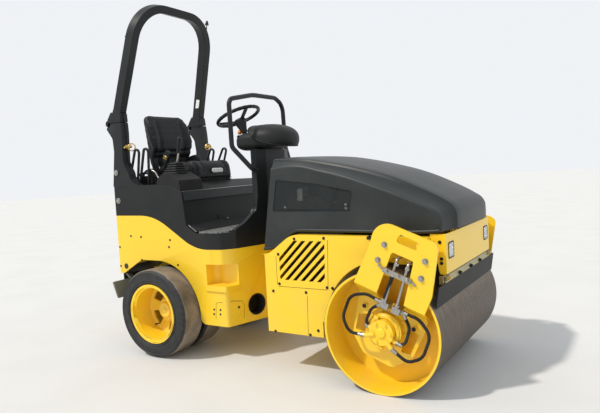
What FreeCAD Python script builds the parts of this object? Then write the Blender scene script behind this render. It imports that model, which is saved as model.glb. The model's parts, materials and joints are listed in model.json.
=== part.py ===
import FreeCAD, Part
import math
import os

# Articulated combination roller: one smooth steel drum in front, four smooth tyres behind.
# Sizes are in millimetres. X runs forward, Y to the driver's left, Z up, and the ground is Z = 0.
# While a piece is modelled its X is counted from the steering pivot. The export moves all of them
# together, so that the origin is on the ground under the middle of the machine's length.

os.makedirs("parts", exist_ok=True)
V = FreeCAD.Vector

# Running gear
axle_reach = 862.5        # from the steering pivot to either axle
drum_radius = 350.0
drum_width = 1200.0
drum_shell = 15.0
drum_disc_y = 400.0       # outer face of the disc inside either end of the drum
drum_disc = 16.0
drum_stub = 55.0          # radius of the stub shaft that carries the drum
tyre_radius = 313.0
tyre_width = 205.0
tyre_face_y = 651.0       # outermost face of the outer tyre
twin_gap = 36.0           # between the two tyres of a pair
shoulder_rise = 16.0      # height and width of a tyre's shoulder
shoulder_wide = 24.0
bead_in = 22.0            # how far in from the sidewall a bead sits on the rim
bead_rise = 30.0          # from the rim's flange to the widest part of the tyre
tyre_section = 123.0      # height of a tyre over its rim
rim_flange = 21.0
rim_wall = 8.0
running_gap = 0.08        # radial play of a shaft in its bearing
soft_gap = 0.3            # between a soft piece and its seat
disc_y = 470.0            # outer face of the deep wheel disc
hub_reach = 30.0          # how far the hub stands out from the disc
hub_share = 0.45          # the hub tube's radius against the inside of the rim
spindle = 48.0
hand_holes = 5            # openings in the disc, and where the first one is, in degrees
hand_hole_first = 138.0

# Rear frame
side_y = 500.0            # half width of both frames
tail_reach = 477.5        # from the rear axle to the tail
tail_top = 996.0
sill_bottom = 762.0
sill_top = 873.0
floor_plate = 12.0
deck_top = 1218.0
belly_z = 238.0
beam_y = 160.0            # half width of the beam between the wheel pairs
face_corner_x = -290.0    # front corner of the rear frame, at the side
face_slope = 0.308        # the front face runs back from the middle so that the machine can steer
nose_y = 120.0
step_floor = 517.0
step_roof = 660.0
step_plate = 37.0
step_depth = 100.0
corner_back = 150.0       # length of the rounded corner over the step
corner_cut = 97.0
cable_hole_radius = 76.0
cable_hole_y = -266.0
cable_hole_z = 351.0
arch_rise = 42.0          # between the top of a tyre and the frame over it
arch_round = 70.0         # between a tyre and the round part of the arch

# Foldable roll bar
bar_lean = math.atan(0.28)
bar_deep = 80.0
bar_wide = 60.0
bar_foot_x = -1277.0
bar_foot_z = 1755.0
bar_foot_y = 471.0        # outer face of a leg at its foot
bar_rise = 877.0          # along the lean, from the foot to the top face
bar_inset = 47.0          # how far a leg leans in over that rise
bar_bend = 205.0
fold_x = -1365.0
fold_z = 1692.0
fold_lug = 24.0
fold_pin = 9.0
lug_play = 2.0            # side play between hinge knuckles
socket_wide = 66.0
socket_lean = 0.04         # how much the sockets lean in towards the top
part_gap = 5.0            # between pieces that part when something folds or opens

# Driver's place
seat_half = 228.0
seat_rest = 1244.0         # top of the seat's suspension box
guard_y = 408.0           # the guard hoops on either side of the seat
lever_foot = V(-825, -355, 1262)
lever_neck = V(-806, -355, 1378)
lever_grip = V(-787, -355, 1492)
lever_top = V(-780, -355, 1550)
lever_rod = 9.0
lever_knob = 17.0
bellows_rings = 7
bellows_wide = 70.0
bellows_step = 8.0
column_half = 207.0
column_deep = 45.0
column_top = 1430.0
wheel_centre = V(-487, 0, 1691)
wheel_tilt = math.radians(22)
wheel_rim = 160.0
wheel_tube = 12.5
rail_radius = 16.5
rail_half = 335.0
rail_x = -300.0
rail_top = 1796.0
rail_bend = 66.0

# Front frame
front_back_x = 40.0
front_belly = 252.0
step_gap = 27.5           # from the arch to the foot of the front frame
plate = 10.0
arch_gap = 38.0           # between the drum and the plates round it
wiper_gap = 8.0           # between the drum and the tip of its wiper
front_top = 878.0
louvres = 8
panel_back = 5.5          # how far the nose panel stays behind the drum's front
panel_half = 455.0
panel_over = 321.0        # from the drum's axle to the bottom of the nose panel
nose_deep = 87.0          # from the end of the side plates to the nose panel
pivot_room_x = 100.0      # pocket in the front frame round the pivot lugs
pivot_room_y = 125.0
panel_top = 892.0

# Hood
hood_half = 460.0
hood_skirt = 908.0
hood_side_skirt = 890.0   # the sides hang a little lower than the nose
hood_skirt_back = 150.0   # from the nose to where the sides' skirt ends
hood_wall = 7.0
hood_overhang = 33.0      # of the hood over the nose panel
shoulder_in = 105.0
shoulder_drop = 54.0
lid_back = 11.0           # hinge axis of the hood, from the nose panel
lid_z = 912.0
lid_lug = 12.0
lid_pin = 7.0
lid_y = 270.0             # middle of either hinge
lid_ear = 8.0
lid_half = 36.0           # half the length of a hinge over its two ears
lid_knuckle = 22.0        # half the length of the hood's knuckle

# Fork that carries the drum on either side
fork_lean = math.radians(21)
fork_y = 620.0
fork_plate = 14.0
fork_inner_y = 490.0
motor_radius = 104.0
motor_flange = 125.0
motor_cover = 72.0
motor_steps = (18.0, 55.0, 94.0)   # from the fork to the faces of flange, body and cover
pipe_radius = 8.0
pipe_out = 2.0            # how far the pipes stand out of the fork's plate
hose_radius = 9.0
hose_y = 584.0            # the outer hoses, and how far behind them the inner ones run
hose_step = 22.0
pipe_top = 446.0

# Steering pivot
pivot_pin = 30.0
pivot_low = 330.0
pivot_high = 560.0
lug_plate = 32.0
lug_radius = 78.0

drum_x = axle_reach
wheels_x = -axle_reach
tail_x = wheels_x - tail_reach
rim_radius = tyre_radius - tyre_section
rim_inside = rim_radius - rim_wall
rim_flange_radius = rim_radius + rim_flange
hub_outer_y = disc_y + hub_reach
inner_tyre_y = tyre_face_y - tyre_width - twin_gap
front_step_x = drum_x - drum_radius - arch_gap - step_gap
panel_x = drum_x + drum_radius - panel_back
panel_bottom = drum_radius + panel_over
frame_end_x = panel_x - nose_deep
hood_nose_x = panel_x + hood_overhang
hood_skirt_end = hood_nose_x - hood_skirt_back
lid_x = panel_x - lid_back
hose_size = drum_radius / 350.0     # the hoses are drawn for a drum of this radius, and follow it
rear_reach = fold_x - fold_lug
shift_x = -(hood_nose_x + rear_reach) / 2


def rounded(corners, place):
    """Closed flat face through corners (u, v, radius), put into space by place(u, v)."""
    spots = [place(u, v) for u, v, _ in corners]
    count = len(spots)
    stops = []
    for i, (_, _, radius) in enumerate(corners):
        here = spots[i]
        if radius <= 0:
            stops.append((here, None, here))
            continue
        back = (spots[i - 1] - here).normalize()
        ahead = (spots[(i + 1) % count] - here).normalize()
        half = back.getAngle(ahead) / 2
        reach = radius / math.tan(half)
        inward = (back + ahead).normalize()
        middle = here + inward * (radius / math.sin(half) - radius)
        stops.append((here + back * reach, middle, here + ahead * reach))
    edges = []
    for i, (start, middle, end) in enumerate(stops):
        if middle is not None:
            edges.append(Part.Arc(start, middle, end).toShape())
        after = stops[(i + 1) % count][0]
        if (after - end).Length > 1e-6:
            edges.append(Part.makeLine(end, after))
    return Part.Face(Part.Wire(edges))


def side_prism(corners, y_from, y_to):
    """Side outline (x, z, radius) drawn across the machine."""
    face = rounded(corners, lambda x, z: V(x, y_from, z))
    return face.extrude(V(0, y_to - y_from, 0))


def plan_prism(corners, z_from, z_to):
    """Plan outline (x, y, radius) drawn upwards."""
    face = rounded(corners, lambda x, y: V(x, y, z_from))
    return face.extrude(V(0, 0, z_to - z_from))


def front_prism(corners, x_from, x_to):
    """Outline seen from the front (y, z, radius), drawn along the machine."""
    face = rounded(corners, lambda y, z: V(x_from, y, z))
    return face.extrude(V(x_to - x_from, 0, 0))


def block(x, y, z):
    """Box between pairs of limits."""
    return Part.makeBox(x[1] - x[0], y[1] - y[0], z[1] - z[0], V(x[0], y[0], z[0]))


def bar(radius, start, end):
    """Round bar from one point to another."""
    run = end - start
    return Part.makeCylinder(radius, run.Length, start, run)


def tube(points, bend, radius):
    """Round tube along straight runs joined by tangent bends, of one radius or one for each corner."""
    bends = bend if isinstance(bend, list) else [bend] * len(points)
    edges = []
    last = points[0]
    for i in range(1, len(points) - 1):
        here = points[i]
        back = (points[i - 1] - here).normalize()
        ahead = (points[i + 1] - here).normalize()
        half = back.getAngle(ahead) / 2
        bend = bends[i - 1]
        reach = bend / math.tan(half)
        inward = (back + ahead).normalize()
        middle = here + inward * (bend / math.sin(half) - bend)
        edges.append(Part.makeLine(last, here + back * reach))
        edges.append(Part.Arc(here + back * reach, middle, here + ahead * reach).toShape())
        last = here + ahead * reach
    edges.append(Part.makeLine(last, points[-1]))
    ring = Part.Wire(Part.makeCircle(radius, points[0], points[1] - points[0]))
    return Part.Wire(edges).makePipeShell([ring], True, False)


def mirrored(shape):
    """The same piece on the other side of the machine."""
    return shape.mirror(V(0, 0, 0), V(0, 1, 0))


def joined(pieces):
    """One shape from several that touch or overlap."""
    return pieces[0].fuse(pieces[1:]).removeSplitter()


def face_x(y):
    """X of the rear frame's front face at a distance from the middle."""
    return face_corner_x + (side_y - abs(y)) * face_slope


def leaning_prism(corners, y_in, wide):
    """Side outline (x, z, radius) on the leaning outer plane of the sockets, drawn inwards."""
    face = rounded(corners, lambda x, z: V(x, socket_y(z) + y_in, z))
    return face.extrude(V(0, wide, 0))


def both_sides(corners):
    """Plan outline from its near half, which ends at the nose."""
    return corners + [(x, -y, r) for x, y, r in reversed(corners)]


# Outline of a hand hole: distance from the axle, angle from its middle, corner radius
hole_in = rim_inside - 84
hole_out = rim_inside - 18
hand_hole = [(hole_in, -17, 9), (hole_out, -20, 9), (hole_out, 0, 0), (hole_out, 20, 9), (hole_in, 17, 9)]
# Where the black cover meets the yellow frame, from the tail to the front: x, z, radius
wave = [
    (tail_x, tail_top, 0),
    (-926, tail_top, 480),
    (-549, sill_bottom, 380),
    (0, sill_bottom, 0),
]
# Opening over the wheels: x, z, radius
arch_top = 2 * tyre_radius + arch_rise
arch_low = arch_top - 111
arch_radius = tyre_radius + arch_round
arch_front = wheels_x + tyre_radius + 15.5
wheel_arch = [
    (tail_x - 60, arch_low, 0),
    (wheels_x - tyre_radius - 107, arch_low, 40),
    (wheels_x - tyre_radius + 91, arch_top, 120),
    (arch_front, arch_top, arch_radius),
    (arch_front, belly_z, 45),
    (arch_front + 94, belly_z, 0),
    (arch_front + 94, 0, 0),
    (tail_x - 60, 0, 0),
]
corner_y = side_y - corner_cut
cover_plan = both_sides([
    (tail_x, -side_y, 25),
    (face_corner_x - corner_back, -side_y, 60),
    (face_corner_x - 42, -side_y + 17, 40),
    (face_x(corner_y), -corner_y, 15),
    (face_x(nose_y), -nose_y, 20),
])


def rear_frame():
    """Yellow welded frame with its arches, steps, rounded corners and cable holes."""
    outline = wave + [(0, belly_z, 0), (-1190, belly_z, 60), (tail_x, 430, 50)]
    plan = both_sides([
        (tail_x, -side_y, 25),
        (face_corner_x, -side_y, 28),
        (face_x(nose_y), -nose_y, 20),
    ])
    body = side_prism(outline, -side_y, side_y).common(plan_prism(plan, 0, 1200))
    inner = side_y - step_depth
    ledge = plan_prism([
        (-470, -side_y - 12, 10),
        (-283, -side_y - 12, 15),
        (face_x(inner - 6) + 8, -inner + 6, 0),
        (-470, -inner + 6, 0),
    ], step_floor - step_plate, step_floor)
    back_x = face_corner_x - corner_back
    corner = plan_prism([
        (back_x, -side_y, 60),
        (face_corner_x - 42, -side_y + 17, 40),
        (face_x(corner_y), -corner_y, 0),
        (0, -corner_y, 0),
        (0, -side_y - 60, 0),
        (back_x, -side_y - 60, 0),
    ], step_roof, sill_bottom + 60)
    step = plan_prism([
        (-458, -side_y - 60, 0),
        (-458, -inner, 38),
        (0, -inner, 0),
        (0, -side_y - 60, 0),
    ], step_floor, step_roof)
    face_dir = V(1, -face_slope, 0).normalize()
    hole_at = V(face_x(cable_hole_y), cable_hole_y, cable_hole_z)
    hole = bar(cable_hole_radius, hole_at + face_dir * 40, hole_at - face_dir * 95)
    arch = side_prism(wheel_arch, -side_y - 40, -beam_y)
    for cut in (arch, corner, step, hole):
        body = body.cut(cut).cut(mirrored(cut))
    return joined([body, ledge, mirrored(ledge)])


def deck_cover():
    """Black moulded cover: side panels, seat platform and the sills of the footwell."""
    outline = wave + [
        (0, sill_top, 0),
        (-541, sill_top, 30),
        (-617, 924, 20),
        (-642, 1166, 12),
        (-745, deck_top, 25),
        (tail_x + 6, deck_top, 12),
    ]
    return side_prism(outline, -side_y, side_y).common(plan_prism(cover_plan, 600, 1300))


def floor_tread():
    """Chequer plate of the footwell with the toe board in front."""
    flat = plan_prism([
        (-510, -488, 0), (-445, -488, 30), (-350, -470, 40), (-305, -425, 0),
        (-305, 425, 0), (-350, 470, 40), (-445, 488, 30), (-510, 488, 0),
    ], sill_top, sill_top + floor_plate)
    top = sill_top + floor_plate
    rear = face_x(nose_y) - column_deep - 45
    toe = side_prism([(-330, top, 0), (-306, top, 0), (rear, 1010, 0), (rear - 12, 1010, 0)], -190, 190)
    return joined([flat, toe])


def bulkhead():
    """Column under the instruments with the wings that close the front of the footwell."""
    back = face_x(column_half) - column_deep
    column = plan_prism(both_sides([
        (back, -column_half, 8),
        (face_x(column_half), -column_half, 8),
        (face_x(nose_y), -nose_y, 0),
    ]), sill_top, column_top)
    wing = front_prism([
        (-corner_y, sill_top, 0), (-corner_y, 893, 8), (-325, 930, 70), (-222, 1012, 50),
        (-column_half, 1110, 0), (-nose_y, 1110, 0), (-nose_y, sill_top, 0),
    ], -400, 0)
    skin = plan_prism([
        (face_x(corner_y), -corner_y, 0), (face_x(nose_y), -nose_y, 0),
        (face_x(nose_y) - 28, -nose_y, 0), (face_x(corner_y) - 28, -corner_y, 0),
    ], sill_top, 1200)
    wing = wing.common(skin)
    return joined([column, wing, mirrored(wing)])


# The dome over the instruments: height, size against its widest outline, shift along x
dome_levels = [
    (column_top, 0.90, -4),
    (1465, 0.98, 0),
    (1520, 1.0, 0),
    (1572, 0.90, -8),
    (1602, 0.62, -30),
    (1611, 0.30, -45),
]
dome_middle = -226.0
dome_plan = [(-446, -95, 70), (-330, -196, 90), (-110, -200, 110), (-6, -78, 75)]


def instrument_cover():
    """Domed cover over the instruments, which overhangs the hood."""
    rings = []
    for z, size, shift in dome_levels:
        middle = dome_middle + shift
        corners = [(middle + (x - dome_middle) * size, y * size, r * size) for x, y, r in dome_plan]
        rings.append(rounded(both_sides(corners), lambda x, y: V(x, y, z)).OuterWire)
    return Part.makeLoft(rings, True, False)


def steering_wheel():
    """Wheel with a tilted rim, three spokes, a hub and its column."""
    axis = V(-math.sin(wheel_tilt), 0, math.cos(wheel_tilt))
    across = V(math.cos(wheel_tilt), 0, math.sin(wheel_tilt))
    side = V(0, 1, 0)
    rim = Part.makeTorus(wheel_rim, wheel_tube, wheel_centre, axis)
    hub_low = wheel_centre - axis * 72
    hub = bar(34, hub_low, wheel_centre - axis * 38)
    stem_end = wheel_centre - axis * 150
    stem = bar(19, stem_end, hub_low)
    pieces = [rim, hub, stem]
    for angle in (60, 180, 300):
        turn = math.radians(angle)
        out = across * math.cos(turn) + side * math.sin(turn)
        pieces.append(bar(9, wheel_centre - axis * 50 + out * 20, wheel_centre + out * (wheel_rim - 4)))
    return joined(pieces).cut(instrument_cover())


def handrail():
    """Hoop round the steering wheel whose feet bend in to the column."""
    foot_x = face_x(column_half) - 22
    near = [
        V(foot_x, -column_half, 1283),
        V(foot_x - 8, -column_half - 45, 1300),
        V(rail_x, -rail_half, 1452),
        V(rail_x, -rail_half, rail_top),
    ]
    far = [V(p.x, -p.y, p.z) for p in reversed(near)]
    bends = [38, 60, rail_bend, 300, rail_bend, 60, 38]
    return tube(near + [V(rail_x, 0, rail_top + 22)] + far, bends, rail_radius).cut(bulkhead())


def bar_point(y, s):
    """Point in the roll bar's own plane: across, and up along its lean from the foot."""
    return V(bar_foot_x + s * math.sin(bar_lean), y, bar_foot_z + s * math.cos(bar_lean))


def fold_bar(radius, y_from, y_to):
    """Round bar on the axis that the roll bar folds about."""
    return bar(radius, V(fold_x, y_from, fold_z), V(fold_x, y_to, fold_z))


def roll_bar():
    """Hoop of rectangular tube, its feet and the knuckles it folds on."""
    normal = V(math.cos(bar_lean), 0, -math.sin(bar_lean))
    shift = normal * (-bar_deep / 2)
    top_y = bar_foot_y - bar_inset
    foot_s = -10.0
    outer = [(-bar_foot_y - 1, foot_s, 0), (-top_y, bar_rise, bar_bend), (top_y, bar_rise, bar_bend),
             (bar_foot_y + 1, foot_s, 0)]
    foot_in = bar_foot_y + 1 - bar_wide
    top_in = top_y - bar_wide
    rise_in = bar_rise - bar_wide
    bend_in = bar_bend - bar_wide
    inner = [
        (-foot_in, foot_s - 30, 0), (-top_in, rise_in, bend_in),
        (top_in, rise_in, bend_in), (foot_in, foot_s - 30, 0),
    ]
    hoop = rounded(outer, lambda y, s: bar_point(y, s) + shift).extrude(normal * bar_deep)
    hole = rounded(inner, lambda y, s: bar_point(y, s) + shift * 2).extrude(normal * (bar_deep * 2))
    hoop = hoop.cut(hole)
    y_out = socket_y(fold_z)
    foot = leaning_prism([
        (fold_x + 6, fold_z + part_gap, 0), (-1165, fold_z + part_gap, 0), (-1170, 1752, 10),
        (-1328, 1777, 12), (-1368, 1722, 10),
    ], 0, socket_wide)
    for start, end in knuckle_spans(False):
        barrel = fold_bar(fold_lug, y_out + start, y_out + end)
        web = block((fold_x, fold_x + 60), (y_out + start, y_out + end), (fold_z + part_gap, fold_z + 30))
        foot = joined([foot, barrel, web])
    start, end = knuckle_spans(True)[0]
    room = fold_bar(fold_lug + part_gap, y_out + start - lug_play, y_out + end + lug_play)
    bore = fold_bar(fold_pin + running_gap, y_out - 9, y_out + socket_wide + 9)
    across = (y_out - 9, y_out + socket_wide + 9)
    relief = block((fold_x + 1, fold_x + 300), across, (fold_z - 40, fold_z + part_gap))
    foot = foot.cut(room).cut(bore).cut(relief)
    return joined([hoop, foot, mirrored(foot)])


def knuckle_spans(middle):
    """Y spans of the hinge knuckles across a socket: the middle one is fixed, the outer two fold."""
    third = (socket_wide - 4 * lug_play) / 3
    if middle:
        return [(third + 2 * lug_play, 2 * third + 2 * lug_play)]
    return [(0.0, third + lug_play), (socket_wide - third - lug_play, socket_wide)]


def socket_y(z):
    """Outer face of the near socket at a height, which leans in towards the top."""
    return -(side_y - 1 - (z - deck_top) * socket_lean)


def socket():
    """Fixed post that takes a leg of the roll bar, with the middle knuckle and its pin."""
    y_out = socket_y(fold_z)
    post = leaning_prism([
        (tail_x + 8, deck_top, 0), (-1078, deck_top, 0), (-1145, 1256, 90), (-1172, 1360, 120),
        (-1170, 1530, 40), (-1165, fold_z, 0),
        (fold_x + fold_lug + 2, fold_z, 0), (fold_x - 18, 1655, 12), (-1319, 1577, 60), (-1308, 1480, 60),
    ], 0, socket_wide)
    start, end = knuckle_spans(True)[0]
    knuckle = fold_bar(fold_lug, y_out + start, y_out + end)
    web = side_prism([
        (fold_x, fold_z, 0), (fold_x + fold_lug + 20, fold_z - 3, 0),
        (fold_x + 40, fold_z - 52, 0), (fold_x - 16, fold_z - 27, 0),
    ], y_out + start, y_out + end)
    post = joined([post, knuckle, web])
    for low, high in ((-9, start - 0.01), (end + 0.01, socket_wide + 9)):
        post = post.cut(fold_bar(fold_lug + part_gap, y_out + low, y_out + high))
    pin = fold_bar(fold_pin, y_out - 6, y_out + socket_wide + 6)
    return joined([post, pin])


def lock_pin():
    """Locking pin through the socket with its ring."""
    y0 = socket_y(1508) + socket_wide + lug_play / 2
    stem = bar(12, V(-1225, y0, 1508), V(-1225, y0 + 34, 1508))
    head = bar(19, V(-1225, y0 + 34, 1508), V(-1225, y0 + 48, 1508))
    return joined([stem, head])


def seat_pieces():
    """Seat suspension box, cushion and back."""
    base = side_prism([
        (-1120, deck_top, 0), (-770, deck_top, 0), (-770, seat_rest, 10), (-1120, seat_rest, 10),
    ], -185, 185)
    cushion = side_prism([
        (-1150, seat_rest + soft_gap, 15), (-745, seat_rest + soft_gap, 25),
        (-735, 1378, 40), (-1150, 1350, 30),
    ], -seat_half, seat_half)
    back = side_prism([
        (-1152.5, 1352, 20), (-1150, 1505, 150), (-1172, 1650, 150), (-1205, 1757, 30),
        (-1252, 1768, 22), (-1268, 1735, 60), (-1258, 1500, 200), (-1262, 1352, 20),
    ], -seat_half, seat_half)
    shape = front_prism([
        (-seat_half, 1300, 0), (-seat_half, 1775, 110), (seat_half, 1775, 110), (seat_half, 1300, 0),
    ], -1400, -1000)
    hanger = side_prism([
        (-1225, deck_top, 0), (-1150.5, deck_top, 0), (-1150.5, 1300, 0),
        (-1180, 1351.5, 0), (-1225, 1351.5, 0),
    ], -90, 90)
    return base, cushion, back.common(shape), hanger


def lever_console():
    """Console on the driver's right, flush with the side panel, that carries the travel lever."""
    hump = side_prism([
        (-872, deck_top - 60, 0), (-866, 1262, 12), (-818, 1292, 24), (-752, 1300, 30), (-660, 1244, 16),
        (-646, deck_top - 60, 0),
    ], -side_y, -262)
    shelf = side_prism([
        (-908, deck_top, 0), (-902, lever_foot.z + 6, 12), (-820, lever_foot.z + 6, 0), (-820, deck_top, 0),
    ], -448, -262)
    return joined([hump, shelf]).cut(deck_cover())


def drive_lever():
    """Ribbed bellows and the travel lever with its grip."""
    lean = (lever_neck - lever_foot).normalize()
    rise = (lever_neck - lever_foot).Length / bellows_rings
    rings = []
    for i in range(bellows_rings):
        wide = bellows_wide - bellows_step * i
        rings.append(Part.makeCone(wide, wide - bellows_step, rise, lever_foot + lean * (i * rise), lean))
    rod = bar(lever_rod, lever_neck - lean * 10, lever_grip)
    grip = bar(lever_knob - 2, lever_grip, lever_top)
    ball = Part.makeSphere(lever_knob, lever_top)
    return joined(rings + [rod, grip, ball]).cut(lever_console())


def seat_rails(y):
    """Two slim guard hoops beside the seat, which lean forward."""
    hoops = []
    for x, top in ((-1140, 1478), (-1032, 1492)):
        line = [V(x - 55, y, deck_top - 5), V(x - 6, y, top), V(x + 84, y, top), V(x + 28, y, deck_top - 5)]
        hoops.append(tube(line, 38, 9).cut(block((-1300, -800), (-600, 600), (deck_top - 50, deck_top))))
    return Part.makeCompound(hoops)


def hubs():
    """Fixed spindle with a flange on either side of the beam."""
    end = hub_outer_y - 6
    near = bar(spindle, V(wheels_x, -end, tyre_radius), V(wheels_x, -beam_y, tyre_radius))
    flange = bar(115, V(wheels_x, -beam_y - 22, tyre_radius), V(wheels_x, -beam_y, tyre_radius))
    side = joined([near, flange])
    return side


def revolved(profile, y_sign=-1):
    """Solid of revolution about the wheel axle from (radius, distance from the middle, corner)."""
    face = rounded(profile, lambda r, y: V(wheels_x + r, y_sign * y, tyre_radius))
    return face.revolve(V(wheels_x, 0, tyre_radius), V(0, 1, 0), 360)


def tyre(outer_y):
    """Smooth tyre with sloping shoulders and a flat tread."""
    middle = outer_y - tyre_width / 2
    half = tyre_width / 2
    side = [
        (rim_radius + soft_gap, half - bead_in, 0),
        (rim_flange_radius + bead_rise, half, 0),
        (tyre_radius - shoulder_rise, half - 3, 0),
        (tyre_radius, half - shoulder_wide, 0),
    ]
    outer = [(radius, middle + y, corner) for radius, y, corner in side]
    inner = [(radius, middle - y, corner) for radius, y, corner in reversed(side)]
    return revolved(outer + inner)


def rim_pair():
    """Twin rim: two barrels, one deep disc with hand holes, and the hub tube on the spindle."""
    rings = []
    for outer_y in (tyre_face_y, tyre_face_y - tyre_width - twin_gap):
        inner_y = outer_y - tyre_width
        rings.append(revolved([
            (rim_inside, outer_y - 4, 0), (rim_flange_radius, outer_y - 4, 0),
            (rim_flange_radius, outer_y - 12, 0), (rim_radius, outer_y - 13.5, 0),
            (rim_radius, inner_y + 13.5, 0), (rim_flange_radius, inner_y + 12, 0),
            (rim_flange_radius, inner_y + 4, 0), (rim_inside, inner_y + 4, 0),
        ]))
    spacer = revolved([
        (rim_inside, tyre_face_y - tyre_width + 4, 0), (rim_radius, tyre_face_y - tyre_width + 4, 0),
        (rim_radius, inner_tyre_y - 4, 0), (rim_inside, inner_tyre_y - 4, 0),
    ])
    bore = spindle + running_gap
    neck = rim_inside * hub_share
    bend = rim_inside - 42
    disc = revolved([
        (bore, hub_outer_y, 0), (neck - 4, hub_outer_y, 0), (neck + 8, disc_y, 0), (bend, disc_y, 0),
        (rim_inside, disc_y + 14, 0), (rim_inside, disc_y, 0),
        (bend, disc_y - 14, 0), (neck, disc_y - 14, 0), (neck, disc_y - 150, 0), (bore, disc_y - 150, 0),
    ])
    for i in range(hand_holes):
        middle = hand_hole_first + 360 / hand_holes * i
        corners = []
        for radius, half, round_by in hand_hole:
            turn = math.radians(middle + half)
            x = wheels_x + radius * math.cos(turn)
            z = tyre_radius + radius * math.sin(turn)
            corners.append((x, z, round_by))
        disc = disc.cut(side_prism(corners, -disc_y - 40, -disc_y + 40))
    cap_y = hub_outer_y + 22
    cap = revolved([(0, cap_y, 0), (50, cap_y, 0), (60, hub_outer_y, 0), (0, hub_outer_y, 0)])
    return joined(rings + [spacer, disc, cap])


def tyre_scraper():
    """Blade behind the wheel pair on its bracket."""
    x = wheels_x - tyre_radius
    low = tyre_radius + 87
    blade = side_prism([
        (x - 39.5, low + 5, 6), (x - 27.5, low, 0), (x - 67.5, low + 120, 0), (x - 80.5, low + 115, 6),
    ], -640, -215)
    arm = side_prism([
        (x - 78.5, low + 100, 0), (x - 64.5, low + 112, 0),
        (tail_x + 44, arch_low, 0), (tail_x + 22, arch_low, 0),
    ], -470, -430)
    return joined([blade, arm])


def tow_clevis():
    """Towing jaw at the tail with an upright pin hole."""
    plates = []
    for z in (600, 668):
        lug = plan_prism([
            (tail_x, -55, 0), (tail_x - 22, -55, 20), (tail_x - 42, -20, 18),
            (tail_x - 42, 20, 18), (tail_x - 22, 55, 20), (tail_x, 55, 0),
        ], z, z + 18)
        plates.append(lug)
    back = block((tail_x - 8, tail_x), (-70, 70), (585, 701))
    body = joined(plates + [back])
    return body.cut(bar(11, V(tail_x - 24, 0, 590), V(tail_x - 24, 0, 700)))


def pivot_yoke():
    """Two lugs on the rear frame that hold the steering pivot."""
    lugs = []
    for z in (pivot_low, pivot_high - lug_plate):
        lug = plan_prism([
            (face_x(nose_y), -nose_y, 0), (-60, -lug_radius, 60), (lug_radius, -lug_radius, lug_radius - 2),
            (lug_radius, lug_radius, lug_radius - 2), (-60, lug_radius, 60), (face_x(nose_y), nose_y, 0),
        ], z, z + lug_plate)
        lugs.append(lug)
    web = block((face_x(nose_y), face_x(nose_y) + 40), (-nose_y, nose_y), (pivot_low, pivot_high))
    body = joined(lugs + [web])
    return body.cut(bar(pivot_pin + running_gap / 2, V(0, 0, pivot_low - 5), V(0, 0, pivot_high + 5)))


def pivot_bolt():
    """Upright pivot pin with its head."""
    pin = bar(pivot_pin, V(0, 0, pivot_low - 8), V(0, 0, pivot_high))
    head = bar(pivot_pin + 14, V(0, 0, pivot_high), V(0, 0, pivot_high + 14))
    return joined([pin, head])


def pivot_block():
    """Bearing block on the front frame that turns on the pivot pin."""
    low = pivot_low + lug_plate + part_gap
    high = pivot_high - lug_plate - part_gap
    body = plan_prism([
        (-62, -62, 60), (pivot_room_x, -90, 0), (pivot_room_x, 90, 0), (-62, 62, 60),
    ], low, high)
    return body.cut(bar(pivot_pin + running_gap, V(0, 0, low - 5), V(0, 0, high + 5)))


def front_outline(edge):
    """Side outline of the front frame, drawn in from the outside by edge."""
    arch = drum_radius + arch_gap + edge
    top = front_top - edge
    rise = [
        (front_back_x + edge, 748 - edge, 0), (66, 748 - edge, 150), (246, top, 160),
        (frame_end_x - edge, top, 0), (frame_end_x - edge, drum_radius + arch - 12, 0),
    ]
    start = math.acos(max(-1.0, min(1.0, (front_belly + edge - drum_radius) / arch)))
    x_low = drum_x - arch * math.sin(start)
    step = front_step_x - edge
    return rise, arch, x_low, step


def front_frame():
    """Yellow front frame: side plates, floor, back wall and the arch over the drum."""
    shells = []
    for edge in (0.0, plate):
        rise, arch, x_low, step = front_outline(edge)
        half = side_y - edge
        floor = front_belly + edge
        outline = rise + [
            (drum_x, drum_radius + arch - 12, 0), (drum_x, floor, 0), (front_back_x + edge, floor, 0),
        ]
        body = side_prism(outline, -half, half)
        drum_room = drum_bar(arch, -half - 10, half + 10)
        body = body.cut(drum_room)
        low = block((step, drum_x + 400), (-half - 10, half + 10), (floor - 10, drum_radius))
        room = block((0, pivot_room_x + edge), (-pivot_room_y - edge, pivot_room_y + edge),
                     (pivot_low - 30 - edge, pivot_high + 30 + edge))
        body = body.cut(low).cut(room)
        shells.append(body)
    outer, inner = shells
    rim_y = side_y - 55
    roof = block((front_back_x + plate, frame_end_x - plate), (-rim_y, rim_y), (760, front_top + 20))
    frame = outer.cut(inner).cut(roof)
    for i in range(louvres):
        frame = frame.cut(louvre(i)).cut(mirrored(louvre(i)))
    spacers = []
    for x0, x1, z0, z1 in ((0, 72, 762, 868), (236, 298, 752, 866)):
        spacer = block((drum_x + x0, drum_x + x1), (-fork_y + fork_plate, -side_y), (z0, z1))
        spacers += [spacer, mirrored(spacer)]
    return joined([frame] + spacers)


def louvre(i):
    """One slanting air slot of the side panel."""
    low = 592.0
    high = 842.0
    pitch = 58.0
    lean = 255.0
    wide = 29.0
    x = 10.0 + i * pitch
    slot = side_prism([(x, low, 0), (x + wide, low, 0), (x + wide + lean, high, 0), (x + lean, high, 0)],
                      -side_y - 10, -side_y + plate + 10)
    frame = side_prism([(150, low, 12), (474, low, 12), (484, high, 12), (246, high, 40), (150, 742, 30)],
                       -side_y - 10, -side_y + plate + 10)
    return slot.common(frame)


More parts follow.
